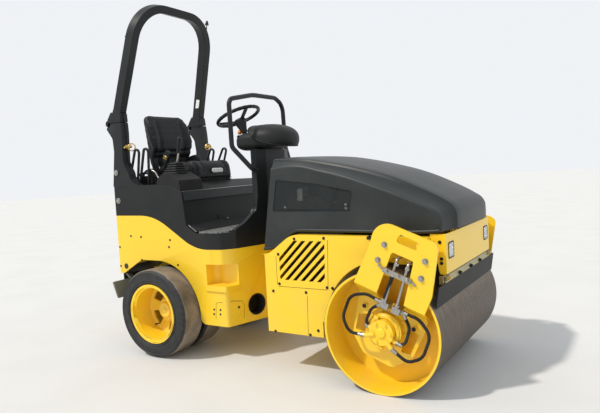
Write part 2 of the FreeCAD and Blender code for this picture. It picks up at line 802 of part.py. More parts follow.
def front_panel():
    """Yellow nose panel with its side flanges and the recesses of the lamps."""
    face = block((panel_x - 7, panel_x), (-panel_half, panel_half), (panel_bottom, panel_top))
    flange = side_prism([
        (frame_end_x, panel_top, 0), (frame_end_x, panel_bottom + 60, 0),
        (panel_x - 49, panel_bottom + 60, 10), (panel_x - 39, panel_bottom, 12),
        (panel_x - 7, panel_bottom, 0), (panel_x - 7, panel_top, 0),
    ], -panel_half, -panel_half + 8)
    ear_outline = [
        (lid_x - lid_lug, lid_z, 0), (lid_x - lid_lug, lid_z - 50, 0), (panel_x - 7, lid_z - 77, 0),
        (panel_x - 7, panel_top, 0), (lid_x + lid_lug, lid_z, 0),
    ]
    hinge = [bar(lid_pin, V(lid_x, -lid_y - lid_half, lid_z), V(lid_x, -lid_y + lid_half, lid_z))]
    for y in (-lid_y - lid_half, -lid_y + lid_half - lid_ear):
        hinge.append(side_prism(ear_outline, y, y + lid_ear))
        hinge.append(bar(lid_lug, V(lid_x, y, lid_z), V(lid_x, y + lid_ear, lid_z)))
    near = joined([flange] + hinge)
    return joined([face, near, mirrored(near)])


def lamps():
    """Two rectangular headlamps in the nose panel."""
    lamp = front_prism([
        (-402, 753, 8), (-335, 753, 8), (-335, 840, 8), (-402, 840, 8),
    ], panel_x, panel_x + 12)
    return Part.makeCompound([lamp, mirrored(lamp)])


def drum_scraper():
    """Bolted bar under the nose panel with the dark wiper in front of the drum."""
    low = panel_bottom - 43
    beam = side_prism([
        (panel_x - 19, low, 0), (panel_x - 3, low, 0),
        (panel_x - 3, panel_bottom, 0), (panel_x - 19, panel_bottom, 0),
    ], -470, 470)
    out = panel_x - 27 - drum_x
    tip = drum_radius + math.sqrt((drum_radius + wiper_gap) ** 2 - out ** 2)
    wiper = side_prism([
        (panel_x - 27, tip, 0), (panel_x - 20, tip - 3, 0), (panel_x - 3, low, 0), (panel_x - 11, low, 0),
    ], -585, 585)
    return beam, wiper


def engine():
    """Diesel engine and pumps as one plain block."""
    back = pivot_room_x + plate + 25
    front = front_step_x - plate - 12
    return block((back, front), (-260, 260), (front_belly + plate, 1120))


def hood_profile(edge, skirt):
    """Side outline of the hood's middle, drawn in by edge: x, z, radius."""
    return [
        (7 + edge, skirt, 0), (12 + edge, 1386 - edge, 22), (300, 1368 - edge, 900),
        (800, 1252 - edge, 900), (hood_nose_x - 90, 1118 - edge, 200),
        (hood_nose_x - edge, 1050 - edge, 55), (hood_nose_x - 14 - edge, skirt, 0),
    ]


def hood_solid(edge, skirt):
    """Closed form of the hood, drawn in by edge."""
    half = hood_half - edge
    face = rounded(hood_profile(edge, skirt), lambda x, z: V(x, -half - 60, z))
    body = face.extrude(V(0, 2 * half + 120, 0))
    slope = V(0, shoulder_in, shoulder_drop)
    for mirror_it in (False, True):
        low = rounded(hood_profile(edge, skirt - 900), lambda x, z: V(x, -half, z - shoulder_drop))
        sheared = low.extrude(slope * ((2 * half + 200) / shoulder_in))
        if mirror_it:
            sheared = mirrored(sheared)
        body = body.common(sheared)
    front = hood_nose_x - edge
    plan = plan_prism(both_sides([
        (-20, -half, 0), (hood_nose_x - 56 - edge, -half, 25), (front, -half + shoulder_in, 25),
    ]), skirt - 10, 1500)
    return body.common(plan)


def hood():
    """Dark hood: one moulded shell with its window for the side grille."""
    skirt = 766.0
    shell = hood_solid(0, skirt).cut(hood_solid(hood_wall, skirt - 5))
    apron = side_prism([
        (-40, 700, 0), (-40, skirt, 0), (61, skirt, 150), (246, hood_side_skirt, 180),
        (hood_skirt_end, hood_side_skirt, 60), (hood_skirt_end + 30, hood_skirt, 60),
        (1400, hood_skirt, 0), (1400, 700, 0),
    ], -600, 600)
    shell = shell.cut(apron)
    window = side_prism(window_corners(0), -hood_half - 20, -hood_half + hood_wall + 10)
    shell = shell.cut(window).cut(mirrored(window))
    y_from = -lid_y - lid_knuckle
    y_to = -lid_y + lid_knuckle
    arm = side_prism([
        (lid_x - 8, lid_z, 0), (lid_x - 2, 955, 0), (hood_nose_x - 9, 978, 0), (hood_nose_x - 9, 950, 0),
        (lid_x + 10, lid_z, 0),
    ], y_from, y_to)
    knuckle = bar(lid_lug, V(lid_x, y_from, lid_z), V(lid_x, y_to, lid_z))
    bore = bar(lid_pin + running_gap, V(lid_x, y_from - 5, lid_z), V(lid_x, y_to + 5, lid_z))
    lug = joined([arm, knuckle]).cut(bore)
    return joined([shell, lug, mirrored(lug)])


def window_corners(edge):
    """Outline of the hood's side window, drawn in by edge."""
    return [
        (95 + edge, 1021 + edge, 12), (131 + edge, 1218 - edge, 12),
        (420, 1182 - edge, 600), (662 - edge, 1136 - edge, 12), (643 - edge, 1021 + edge, 12),
    ]


def grille():
    """Perforated sheet in the hood's side window."""
    y = -hood_half + hood_wall
    near = side_prism(window_corners(-6), y, y + 3)
    return near


def drum_bar(radius, y_from, y_to):
    """Round bar on the drum's axle."""
    return bar(radius, V(drum_x, y_from, drum_radius), V(drum_x, y_to, drum_radius))


def fork_place(u, v, y):
    """Point of a fork: across and up along its own lean, from the drum's axle."""
    return V(drum_x + u * math.cos(fork_lean) + v * math.sin(fork_lean), y,
             drum_radius - u * math.sin(fork_lean) + v * math.cos(fork_lean))


def fork_prism(corners, y_from, y_to):
    """Outline (u, v, radius) in the fork's lean, drawn across the machine."""
    face = rounded(corners, lambda u, v: fork_place(u, v, y_from))
    return face.extrude(V(0, y_to - y_from, 0))


def fork():
    """Cranked plate from the front frame down into the open end of the drum."""
    low = 222.0
    outer = fork_prism([
        (-228, low, 0), (-206, 440, 150), (-208, 609, 92), (152, 606, 45),
        (178, 480, 200), (209, 330, 80), (203, low, 0),
    ], -fork_y, -fork_y + fork_plate)
    window = fork_prism([(-84, low - 20, 0), (-72, 469, 14), (58, 469, 14), (84, low - 20, 0)],
                        -fork_y - 5, -fork_y + fork_plate + 5)
    slot = fork_prism([(-70, 528, 18), (62, 528, 18), (54, 573, 18), (-60, 577, 18)],
                      -fork_y - 5, -fork_y + fork_plate + 5)
    outer = outer.cut(window).cut(slot)
    legs = []
    for u0, u1 in ((-228, -84), (84, 203)):
        crank = Part.Face(Part.makePolygon([fork_place(u0, v, y) for v, y in (
            (low, -fork_y), (low, -fork_y + fork_plate), (low - 66, -fork_inner_y + fork_plate),
            (low - 84, -fork_inner_y + fork_plate), (low - 84, -fork_inner_y), (low, -fork_y),
        )]))
        legs.append(crank.extrude(fork_place(u1, 0, 0) - fork_place(u0, 0, 0)))
    inner = fork_prism([
        (-228, low - 66, 0), (-204, -40, 60), (-190, -122, 30), (-95, -205, 60), (95, -205, 60),
        (188, -100, 30), (205, 60, 60), (203, low - 66, 0),
    ], -fork_inner_y, -fork_inner_y + fork_plate)
    for hole in (
        [(-190, 6, 10), (-132, 30, 10), (-122, -84, 10), (-182, -92, 10)],
        [(112, 58, 10), (182, 50, 10), (172, -78, 10), (112, -92, 10)],
    ):
        inner = inner.cut(fork_prism(hole, -fork_inner_y - 5, -fork_inner_y + fork_plate + 5))
    buffers = []
    for u, v in ((-168, 69), (145, 73)):
        buffers.append(bar(17, fork_place(u, v, -fork_inner_y - 12), fork_place(u, v, -fork_inner_y)))
    return joined([outer, inner] + legs + buffers)


# Where the hoses meet the motor: across and up in the fork's lean, and the hose row, 0 outer or 1 inner
motor_ports = [(-84, -56, 0), (84, -56, 0), (-84, -8, 1), (92, -22, 1)]
# Each hose: its row, and its route from the manifold to the motor, as (u, v, bend)
hose_routes = [
    (0, [(-50, 168, 0), (-150, 176, 90), (-240, 125, 80), (-244, -20, 80), (-180, -84, 60), (-84, -56, 0)]),
    (0, [(70, 168, 0), (175, 174, 90), (262, 120, 80), (262, -20, 80), (192, -84, 60), (84, -56, 0)]),
    (1, [(-46, 160, 0), (-104, 100, 60), (-112, -4, 40), (-84, -8, 0)]),
    (1, [(74, 160, 0), (138, 96, 60), (144, -18, 40), (92, -22, 0)]),
]


def hose_place(u, v, y):
    """Point of the hoses' drawing, which follows the size of the drum."""
    return fork_place(u * hose_size, v * hose_size, y)


def drum_motor():
    """Hydraulic motor on the fork whose shaft carries the drum's disc, with its ports."""
    y_plate = -fork_inner_y
    steps = []
    last = 0.0
    for radius, face in zip((motor_flange, motor_radius, motor_cover), motor_steps):
        steps.append(drum_bar(radius, y_plate - face, y_plate - last))
        last = face
    for u, v, row in motor_ports:
        y = -hose_y + row * hose_step
        steps.append(bar(hose_radius + 4, hose_place(u * 0.4, v * 0.4, y), hose_place(u, v, y)))
    return joined(steps)


def pipes():
    """Two steel pipes from the frame, their clamp bar, and the manifolds that the hoses leave."""
    y = -fork_y + pipe_radius - pipe_out
    clamp = fork_prism([(-86, 350, 4), (82, 350, 4), (82, 378, 4), (-86, 378, 4)], -fork_y - 16, -fork_y)
    pieces = [clamp]
    for u_top, u_low in ((-34, -22), (34, 48)):
        pieces.append(tube([
            fork_place(u_top, pipe_top, -side_y), fork_place(u_top, pipe_top, y), hose_place(u_low, 180, y),
        ], 24, pipe_radius))
        ends = [(u_low - 24, 152), (u_low + 24, 152), (u_low + 24, 188), (u_low - 24, 188)]
        corners = [(u * hose_size, v * hose_size, 4) for u, v in ends]
        pieces.append(fork_prism(corners, -fork_y + 4, -hose_y + hose_step + hose_radius + 3))
    return joined(pieces)


def hoses():
    """Four looping hoses from the manifolds to the motor."""
    lines = []
    for row, route in hose_routes:
        y = -hose_y + row * hose_step
        points = [hose_place(u, v, y) for u, v, _ in route]
        lines.append(tube(points, [bend * hose_size for _, _, bend in route[1:-1]], hose_radius))
    fixed = joined([pipes(), drum_motor()])
    return Part.makeCompound([line.cut(fixed) for line in lines])


def drum_shaft():
    """Bearing stub between the fork and the disc of the drum."""
    y_plate = -fork_inner_y + fork_plate
    collar = drum_bar(90, y_plate, y_plate + 40)
    shaft = drum_bar(drum_stub, y_plate, -drum_disc_y + drum_disc + 60)
    return joined([collar, shaft])


def drum():
    """Smooth drum shell with a disc and a bearing boss near either end."""
    half = drum_width / 2
    inner = drum_radius - drum_shell
    shell = drum_bar(drum_radius, -half, half).cut(drum_bar(inner, -half - 1, half + 1))
    disc = drum_bar(inner, -drum_disc_y, -drum_disc_y + drum_disc)
    boss = drum_bar(95, -drum_disc_y, -drum_disc_y + 70)
    bore = drum_bar(drum_stub + running_gap, -drum_disc_y - 5, -drum_disc_y + 90)
    side = joined([disc, boss]).cut(bore)
    return joined([shell, side, mirrored(side)])


seat_base, seat_cushion, seat_back, seat_hanger = seat_pieces()
hub_right = hubs()
scraper_beam, scraper_wiper = drum_scraper()
fork_right = fork()
nodes = {
    "rear_frame": rear_frame(),
    "deck_cover": deck_cover(),
    "floor_tread": floor_tread(),
    "bulkhead": bulkhead(),
    "instrument_cover": instrument_cover(),
    "steering_wheel": steering_wheel(),
    "handrail": handrail(),
    "socket_right": socket(),
    "socket_left": mirrored(socket()),
    "lock_pins": Part.makeCompound([lock_pin(), mirrored(lock_pin())]),
    "roll_bar": roll_bar(),
    "seat_base": seat_base,
    "seat_cushion": seat_cushion,
    "seat_back": seat_back,
    "seat_hanger": seat_hanger,
    "lever_console": lever_console(),
    "drive_lever": drive_lever(),
    "seat_rails_right": seat_rails(-guard_y),
    "seat_rails_left": seat_rails(guard_y),
    "hub_right": hub_right,
    "hub_left": mirrored(hub_right),
    "tyre_scraper_right": tyre_scraper(),
    "tyre_scraper_left": mirrored(tyre_scraper()),
    "tow_clevis": tow_clevis(),
    "pivot_yoke": pivot_yoke(),
    "pivot_pin": pivot_bolt(),
    "pivot_block": pivot_block(),
    "front_frame": front_frame(),
    "front_panel": front_panel(),
    "headlamps": lamps(),
    "scraper_beam": scraper_beam,
    "drum_wiper": scraper_wiper,
    "engine": engine(),
    "fork_right": fork_right,
    "fork_left": mirrored(fork_right),
    "motor_right": drum_motor(),
    "motor_left": mirrored(drum_motor()),
    "pipes_right": pipes(),
    "pipes_left": mirrored(pipes()),
    "hoses_right": hoses(),
    "hoses_left": mirrored(hoses()),
    "shaft_right": drum_shaft(),
    "shaft_left": mirrored(drum_shaft()),
    "drum": drum(),
    "hood": hood(),
    "grille_right": grille(),
    "grille_left": mirrored(grille()),
    "tyre_outer_right": tyre(tyre_face_y),
    "tyre_inner_right": tyre(inner_tyre_y),
    "rim_right": rim_pair(),
    "tyre_outer_left": mirrored(tyre(tyre_face_y)),
    "tyre_inner_left": mirrored(tyre(inner_tyre_y)),
    "rim_left": mirrored(rim_pair()),
}

for name, shape in nodes.items():
    shape.translate(V(shift_x, 0, 0))
    shape.exportStep("parts/" + name + ".step")
    print(name, "solids", len(shape.Solids), "valid", shape.isValid())
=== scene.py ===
# %% [markdown]
# # A road roller, dressed for its picture
# The machine is an articulated combination roller. One steel drum runs in front, four smooth tyres
# run behind, and the driver sits between them under a roll bar that folds. The solids come from the
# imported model. This script gives them paint, rubber, steel and vinyl, and adds what a solid model
# leaves out: bolts, seams, mesh, cushions, hoses and lamps. Every length is in metres. X points
# forward, Y to the driver's left, Z up, and the ground is Z = 0.

import json
import math

import bmesh
import bpy
from mathutils import Matrix, Vector


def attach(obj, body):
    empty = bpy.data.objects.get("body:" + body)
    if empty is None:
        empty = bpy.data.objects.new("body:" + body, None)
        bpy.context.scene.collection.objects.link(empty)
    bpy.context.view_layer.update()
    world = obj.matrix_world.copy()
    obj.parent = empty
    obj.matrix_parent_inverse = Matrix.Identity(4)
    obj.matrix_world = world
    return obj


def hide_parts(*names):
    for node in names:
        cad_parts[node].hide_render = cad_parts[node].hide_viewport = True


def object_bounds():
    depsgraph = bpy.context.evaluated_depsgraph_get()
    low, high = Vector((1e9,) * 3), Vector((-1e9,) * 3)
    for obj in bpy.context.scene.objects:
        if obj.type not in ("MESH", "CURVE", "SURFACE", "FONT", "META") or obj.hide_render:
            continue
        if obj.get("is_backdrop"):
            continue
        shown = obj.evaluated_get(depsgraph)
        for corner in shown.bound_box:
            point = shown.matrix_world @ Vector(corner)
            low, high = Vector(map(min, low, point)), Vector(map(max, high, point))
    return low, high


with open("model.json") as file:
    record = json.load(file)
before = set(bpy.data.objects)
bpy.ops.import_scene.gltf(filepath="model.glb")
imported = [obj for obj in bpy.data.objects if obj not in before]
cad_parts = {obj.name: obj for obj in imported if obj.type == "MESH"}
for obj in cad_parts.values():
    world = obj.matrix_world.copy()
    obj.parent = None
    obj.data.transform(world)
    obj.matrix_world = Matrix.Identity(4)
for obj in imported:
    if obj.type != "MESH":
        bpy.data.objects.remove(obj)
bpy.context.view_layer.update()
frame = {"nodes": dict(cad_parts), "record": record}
scene = bpy.context.scene

# %% [markdown]
# ## Camera
# The picture was taken from about eye height, in front of the machine's right side. The lens and
# the place were worked out from the tyres, the drum and the frame's straight edges. A camera can be
# set by its angles, but three direction vectors are safer here: forward comes from the heading and
# the tilt, and the roll then turns the other two about it.

# %% Camera
PIVOT = 0.0745                              # the steering pivot's place along X
EYE = Vector((2.1753 + PIVOT, -3.4479, 1.3015))
SENSOR = 36                                 # millimetres
FOCAL_PIXELS, PICTURE_PIXELS = 574.06, 600  # focal length and width of the picture
heading = math.radians(32.086)
tilt = math.radians(4.09)
roll = math.radians(-3.122)
ahead = Vector((-math.sin(heading) * math.cos(tilt), math.cos(heading) * math.cos(tilt), -math.sin(tilt)))
flat_right = Vector((math.cos(heading), math.sin(heading), 0))
flat_up = flat_right.cross(ahead)
right = math.cos(roll) * flat_right + math.sin(roll) * flat_up
up = math.cos(roll) * flat_up - math.sin(roll) * flat_right

camera_data = bpy.data.cameras.new("camera")
camera_data.sensor_width = SENSOR
camera_data.lens = FOCAL_PIXELS * SENSOR / PICTURE_PIXELS
camera_data.clip_start = 0.05
camera_data.clip_end = 200
camera = bpy.data.objects.new("camera", camera_data)
camera.matrix_world = Matrix((
    (right.x, up.x, -ahead.x, EYE.x),
    (right.y, up.y, -ahead.y, EYE.y),
    (right.z, up.z, -ahead.z, EYE.z),
    (0, 0, 0, 1),
))
scene.collection.objects.link(camera)
scene.camera = camera
print("lens", round(camera_data.lens, 2), "mm")

# %% [markdown]
# ## Light
# Plain light shows a finish as it is. A soft grey sky fills the shadows, and a sun from above the
# camera's left shoulder gives the same side of each edge a highlight as in the picture. The sky is
# made paler only where the camera, a mirror or a lens sees it: the Light Path node tells those rays
# apart, so the backdrop goes white without more light falling on the machine.

# %% Light
scene.view_settings.view_transform = "Standard"
world = bpy.data.worlds.new("studio")
scene.world = world
world.use_nodes = True


def studio_world(strength, seen):
    """A grey dome for light, which a camera or a polished surface sees as a paler one."""
    nodes, links = world.node_tree.nodes, world.node_tree.links
    nodes.clear()
    path = nodes.new("ShaderNodeLightPath")
    dome = nodes.new("ShaderNodeBackground")
    dome.inputs["Color"].default_value = (0.90, 0.94, 1.0, 1)
    dome.inputs["Strength"].default_value = strength
    shown = nodes.new("ShaderNodeBackground")
    shown.inputs["Color"].default_value = (0.945, 0.965, 1.0, 1)
    shown.inputs["Strength"].default_value = seen
    mix = nodes.new("ShaderNodeMixShader")
    out = nodes.new("ShaderNodeOutputWorld")
    sees = path.outputs["Is Camera Ray"]
    for ray in ("Is Glossy Ray", "Is Transmission Ray"):
        either = nodes.new("ShaderNodeMath")
        either.operation = "MAXIMUM"
        links.new(sees, either.inputs[0])
        links.new(path.outputs[ray], either.inputs[1])
        sees = either.outputs[0]
    links.new(sees, mix.inputs[0])
    links.new(dome.outputs[0], mix.inputs[1])
    links.new(shown.outputs[0], mix.inputs[2])
    links.new(mix.outputs[0], out.inputs[0])


studio_world(0.72, 0.92)


def sun(name, direction, strength, softness, color):
    """A distant lamp that shines along a direction."""
    data = bpy.data.lights.new(name, "SUN")
    data.energy = strength
    data.angle = math.radians(softness)
    data.color = color
    lamp = bpy.data.objects.new(name, data)
    lamp.rotation_mode = "QUATERNION"
    lamp.rotation_quaternion = Vector(direction).to_track_quat("-Z", "Y")
    scene.collection.objects.link(lamp)
    return lamp


lamps = [sun("sun", (0.42, 0.62, -0.95), 2.3, 3.0, (1.0, 0.965, 0.9)),
         sun("fill", (-0.7, 0.3, -0.35), 0.12, 40.0, (0.92, 0.96, 1.0))]
print("lamps:", [(lamp.name, round(lamp.data.energy, 2)) for lamp in lamps])

# %% [markdown]
# ## Writing materials as sums
# A procedural material is a small program. Wiring it node by node hides what it computes, so one
# class wraps a socket and gives it the arithmetic signs. An expression such as `1 - dust * 0.4` then
# adds the Math nodes itself. Colours go through Mix, because a Math node would turn them grey.

# %% The shader class
class Wire:
    """One output of a node in a material, with arithmetic."""

    def __init__(self, tree, socket):
        self.tree, self.socket = tree, socket

    def add(self, kind, settings=None, inputs=None, out=0):
        """A node of any type: its settings first, then the values or wires of its inputs."""
        node = self.tree.nodes.new(kind)
        for name, value in (settings or {}).items():
            setattr(node, name, value)
        for name, value in (inputs or {}).items():
            if isinstance(value, Wire):
                self.tree.links.new(value.socket, node.inputs[name])
            else:
                node.inputs[name].default_value = value
        return Wire(self.tree, node.outputs[out])

    def math(self, operation, a, b=0.0):
        return self.add("ShaderNodeMath", {"operation": operation}, {0: a, 1: b})

    def __add__(self, other):
        return self.math("ADD", self, other)

    def __sub__(self, other):
        return self.math("SUBTRACT", self, other)

    def __mul__(self, other):
        return self.math("MULTIPLY", self, other)

    def __pow__(self, other):
        return self.math("POWER", self, other)

    def __radd__(self, other):
        return self.math("ADD", other, self)

    def __rsub__(self, other):
        return self.math("SUBTRACT", other, self)

    def __rmul__(self, other):
        return self.math("MULTIPLY", other, self)

    def root(self):
        return self.math("SQRT", self)

    def wave(self):
        return self.math("SINE", self)

    def least(self, other):
        return self.math("MINIMUM", self, other)

    def rise(self, low, high):
        """0 below low, 1 above high, and a smooth step between them."""
        return self.add("ShaderNodeMapRange", {"interpolation_type": "SMOOTHSTEP"},
                        {"Value": self, "From Min": low, "From Max": high})

    def tint(self, first, second):
        """A colour that goes from first to second as this value goes from 0 to 1."""
        return self.add("ShaderNodeMix", {"data_type": "RGBA"}, {"Factor": self, 6: first, 7: second}, out=2)


def srgb(red, green, blue):
    """A colour picked from a screen, 0 to 255, as the linear colour a shader wants."""
    parts = [c / 255 for c in (red, green, blue)]
    return tuple(c / 12.92 if c <= 0.04045 else ((c + 0.055) / 1.055) ** 2.4 for c in parts) + (1.0,)


print("a middle grey is", round(srgb(128, 128, 128)[0], 3), "in linear light")

# %% [markdown]
# Each finish starts the same way: a place to read (the object's own coordinates, in metres), some
# noise, and at the end a Principled shader. These helpers keep that part short. Numbers that don't
# change over the surface are set on the shader itself, because an exported model loses linked ones.

# %% Places, noise and the shader's end
finishes = {}


class Finish(Wire):
    """A new material, ready to be written as expressions on its own coordinates."""

    def __init__(self, name):
        self.material = bpy.data.materials.new(name)
        self.material.use_nodes = True
        self.material.node_tree.nodes.clear()
        super().__init__(self.material.node_tree, None)
        self.place = self.add("ShaderNodeTexCoord", out=3)
        axes = self.tree.nodes.new("ShaderNodeSeparateXYZ")
        self.tree.links.new(self.place.socket, axes.inputs[0])
        self.x, self.y, self.z = (Wire(self.tree, axes.outputs[i]) for i in range(3))
        finishes[name] = self

    def noise(self, per_metre, detail=4.0, rough=0.55, stretch=(1, 1, 1)):
        place = self.place
        if stretch != (1, 1, 1):
            place = self.add("ShaderNodeMapping", None, {"Vector": place, "Scale": stretch})
        return self.add("ShaderNodeTexNoise", None,
                        {"Vector": place, "Scale": per_metre, "Detail": detail, "Roughness": rough})

    def cells(self, per_metre):
        return self.add("ShaderNodeTexVoronoi", None, {"Vector": self.place, "Scale": per_metre})

    def away(self, x, z):
        """Distance from an axle that lies along Y."""
        return ((self.x - x) ** 2 + (self.z - z) ** 2).root()

    def relief(self, height, depth, strength):
        """A surface direction bent by a height, which is 0 to 1 for a depth in metres."""
        return self.add("ShaderNodeBump", None, {"Height": height, "Distance": depth, "Strength": strength})

    def end(self, color, roughness=0.5, metallic=0.0, normal=None, **fixed):
        inputs = {"Base Color": color, "Roughness": roughness, "Metallic": metallic}
        if normal is not None:
            inputs["Normal"] = normal
        inputs.update({name.replace("_", " "): value for name, value in fixed.items()})
        shader = self.add("ShaderNodeBsdfPrincipled", None, inputs)
        output = self.tree.nodes.new("ShaderNodeOutputMaterial")
        self.tree.links.new(shader.socket, output.inputs["Surface"])
        return self.material


print("finishes so far:", len(finishes))

# %% [markdown]
# ## Paint
# The frames are sprayed with a warm yellow enamel. Sprayed paint has a fine orange-peel skin, and on
# a working machine a film of road dust settles on the lower parts. The dust is a mask from height
# and noise. It pales the colour and dulls the gloss together, as real dust does.

# %% Yellow enamel and the dark paints
REAR_AXLE = (-0.8625 + PIVOT, 0.313)
DRUM_AXLE = (0.8625 + PIVOT, 0.350)
YELLOW = srgb(252, 208, 38)
DUSTY_YELLOW = srgb(222, 192, 96)


def settled_dust(f, height, amount):
    """Dust in soft patches that thins out towards a height."""
    return (1 - f.z.rise(0.02, height)) * f.noise(5.5, 6.0).rise(0.38, 0.72) * amount


def yellow(name, amount=0.45):
    f = Finish(name)
    dust = settled_dust(f, 0.9, amount)
    specks = f.noise(85.0, 3.0, 0.7).rise(0.63, 0.76) * 0.16
    color = (dust + specks).least(1.0).tint(YELLOW, DUSTY_YELLOW)
    gloss = 0.30 + dust * 0.4 + f.noise(9.0, 3.0) * 0.08
    return f.end(color, gloss, normal=f.relief(f.noise(380.0, 2.0), 0.0003, 0.18),
                 Coat_Weight=0.25, Coat_Roughness=0.12)


yellow("yellow_paint")
yellow("rim_paint", 0.6)


def dark_paint(name, color, pale, gloss, grain, depth, dust_height=1.1, amount=0.25):
    """A dark coat or moulding: a fine grain, and a breath of dust that greys it."""
    f = Finish(name)
    dust = settled_dust(f, dust_height, amount) + f.noise(70.0, 4.0, 0.7).rise(0.6, 0.78) * 0.10
    worn = f.noise(3.0, 4.0).rise(0.35, 0.75) * 0.06
    return f.end((dust + worn).least(1.0).tint(color, pale), gloss + dust * 0.35,
                 normal=f.relief(f.cells(grain), depth, 0.35), Specular_IOR_Level=0.25)


dark_paint("black_plastic", srgb(29, 31, 31), srgb(96, 94, 88), 0.5, 900.0, 0.0004)
dark_paint("black_paint", srgb(30, 33, 34), srgb(100, 99, 94), 0.4, 700.0, 0.0002)
dark_paint("steering_plastic", srgb(27, 28, 29), srgb(90, 88, 84), 0.42, 1100.0, 0.0002)
dark_paint("black_rubber", srgb(24, 24, 25), srgb(105, 100, 92), 0.56, 600.0, 0.0003)
dark_paint("axle_steel", srgb(58, 56, 54), srgb(130, 120, 104), 0.55, 300.0, 0.0005)
# near black: the engine's dark paint, darkened further as painted shade inside the hood
dark_paint("engine_paint", srgb(17, 18, 19), srgb(64, 62, 58), 0.5, 240.0, 0.0006)
print("dark coats:", len(finishes))

# %% [markdown]
# The hood is a smooth grey moulding with a slight bloom. Its top faces the sky, so what varies over
# it is mostly gloss: broad, soft patches where it was wiped, and rain marks in fine runs.

# %% Hood plastic
f = Finish("hood_plastic")
bloom = f.noise(2.2, 5.0, 0.6).rise(0.3, 0.8)
runs = f.noise(26.0, 3.0, 0.6, (1.0, 1.0, 0.12)).rise(0.55, 0.8)
specks = f.noise(120.0, 3.0, 0.7).rise(0.64, 0.78)
film = bloom * 0.22 + runs * 0.06 + specks * 0.16
f.end(film.tint(srgb(36, 40, 40), srgb(92, 95, 93)), 0.40 + film * 0.4,
      normal=f.relief(f.noise(520.0, 2.0), 0.0002, 0.2), Specular_IOR_Level=0.35)
print("hood plastic:", len(f.tree.nodes), "nodes")

# %% [markdown]
# ## Rubber and rolled steel
# A compactor's tyres have no tread pattern. The sidewalls stay dark, and the tread is scuffed to a
# dusty grey-brown. Two materials could part them, but one distance from the axle does it without a
# seam, because rubber is one piece on the wheel too.

# %% Tyre rubber
f = Finish("tyre_rubber")
reach = f.away(*REAR_AXLE)
scuffed = (reach + f.noise(24.0, 4.0) * 0.008).rise(0.3105, 0.3165)
stones = f.noise(210.0, 4.0, 0.75)
patches = f.noise(7.0, 5.0)
tread = (stones * 0.55 + patches * 0.6).rise(0.32, 0.82).tint(srgb(74, 68, 60), srgb(158, 143, 126))
side = (f.noise(30.0, 4.0).rise(0.35, 0.8) * 0.5).tint(srgb(30, 32, 32), srgb(62, 61, 58))
ring_band = reach.rise(0.222, 0.224) - reach.rise(0.246, 0.248)
rings = ((reach * 2100.0).wave() * 0.5 + 0.5) * (1 - scuffed) * ring_band
f.end(scuffed.tint(side, tread), 0.58 + scuffed * 0.3,
      normal=f.relief(stones * scuffed + rings * 0.5, 0.0012, 0.45))
print("tyre rubber:", len(f.tree.nodes), "nodes")

# %% [markdown]
# The drum is read the same way. Its rolling face is bare steel, scored along the direction of
# travel, so its noise is stretched across the machine, and its inside is painted like the frames.
# A paler band near the top is where the light falls flat on the polished shell.

# %% Drum steel, painted inside
f = Finish("drum_steel")
reach = f.away(*DRUM_AXLE)
rolling = reach.rise(0.3478, 0.3486)
scores = f.noise(9.0, 5.0, 0.7, (1.0, 9.0, 1.0))
grit = f.noise(150.0, 5.0, 0.8)
pale = (f.z + scores * 0.09).rise(0.46, 0.66)
bare = (scores * 0.35 + grit * 0.75 + pale * 0.25).rise(0.38, 0.95).tint(srgb(78, 72, 64), srgb(160, 146, 130))
dust = f.noise(7.0, 6.0).rise(0.4, 0.75) * 0.35 + f.noise(90.0, 3.0).rise(0.6, 0.8) * 0.2
f.end(rolling.tint(dust.tint(YELLOW, DUSTY_YELLOW), bare), 0.34 + rolling * 0.16 + grit * 0.12,
      metallic=rolling * 0.55, normal=f.relief(scores * rolling + grit * 0.3, 0.0005, 0.35))
print("drum steel:", len(f.tree.nodes), "nodes")

# %% [markdown]
# ## Small metals, vinyl and lamps
# Fittings are zinc plated, some with a yellow passivation, so one function makes them all from two
# colours and a gloss. The footwell is a tread plate that boots have rubbed pale. Its metallic share is
# low, because a fully metallic floor would mirror a sky that the footwell hardly sees.

# %% Metals
def metal(name, color, dark, gloss, grain=160.0):
    f = Finish(name)
    grime = f.noise(grain, 4.0, 0.7).rise(0.45, 0.75)
    return f.end((grime * 0.45).tint(color, dark), gloss + grime * 0.2, metallic=1.0,
                 normal=f.relief(f.noise(grain * 2), 0.0003, 0.2))


metal("plated_steel", srgb(172, 170, 163), srgb(104, 98, 88), 0.32)
metal("gold_zinc", srgb(222, 190, 118), srgb(130, 100, 50), 0.3)
metal("olive_zinc", srgb(176, 168, 128), srgb(110, 100, 70), 0.42, 90.0)
f = Finish("tread_plate")
trodden = f.noise(60.0, 4.0, 0.7).rise(0.40, 0.66)
f.end(trodden.tint(srgb(150, 150, 146), srgb(66, 68, 66)), 0.42 + trodden * 0.2, metallic=0.35,
      normal=f.relief(f.noise(120.0), 0.0003, 0.2), Specular_IOR_Level=0.4)
metal("mirror_steel", srgb(235, 236, 238), srgb(200, 200, 200), 0.08)
dark_paint("mesh_steel", srgb(80, 85, 87), srgb(128, 130, 128), 0.4, 500.0, 0.0002)
dark_paint("worn_steel", srgb(118, 120, 106), srgb(150, 146, 130), 0.55, 200.0, 0.0004, 1.2, 0.5)
dark_paint("bolt_black", srgb(34, 34, 34), srgb(110, 100, 90), 0.42, 400.0, 0.0002)
print("with the metals:", len(finishes))

# %% [markdown]
# The seat's cover is a grained vinyl. Pores and creases are two sizes of the same surface, so small
# Voronoi cells make the pores, a coarse noise makes the creases, and both bend the light together.

# %% Seat vinyl
f = Finish("seat_vinyl")
pores = f.cells(420.0)
creases = f.noise(34.0, 5.0, 0.6)
f.end((creases.rise(0.4, 0.8) * 0.5).tint(srgb(20, 21, 23), srgb(44, 45, 47)), 0.44 + creases * 0.14,
      normal=f.relief(pores * 0.6 + creases * 0.8, 0.0009, 0.4), Specular_IOR_Level=0.3)
print("seat vinyl:", len(f.tree.nodes), "nodes")

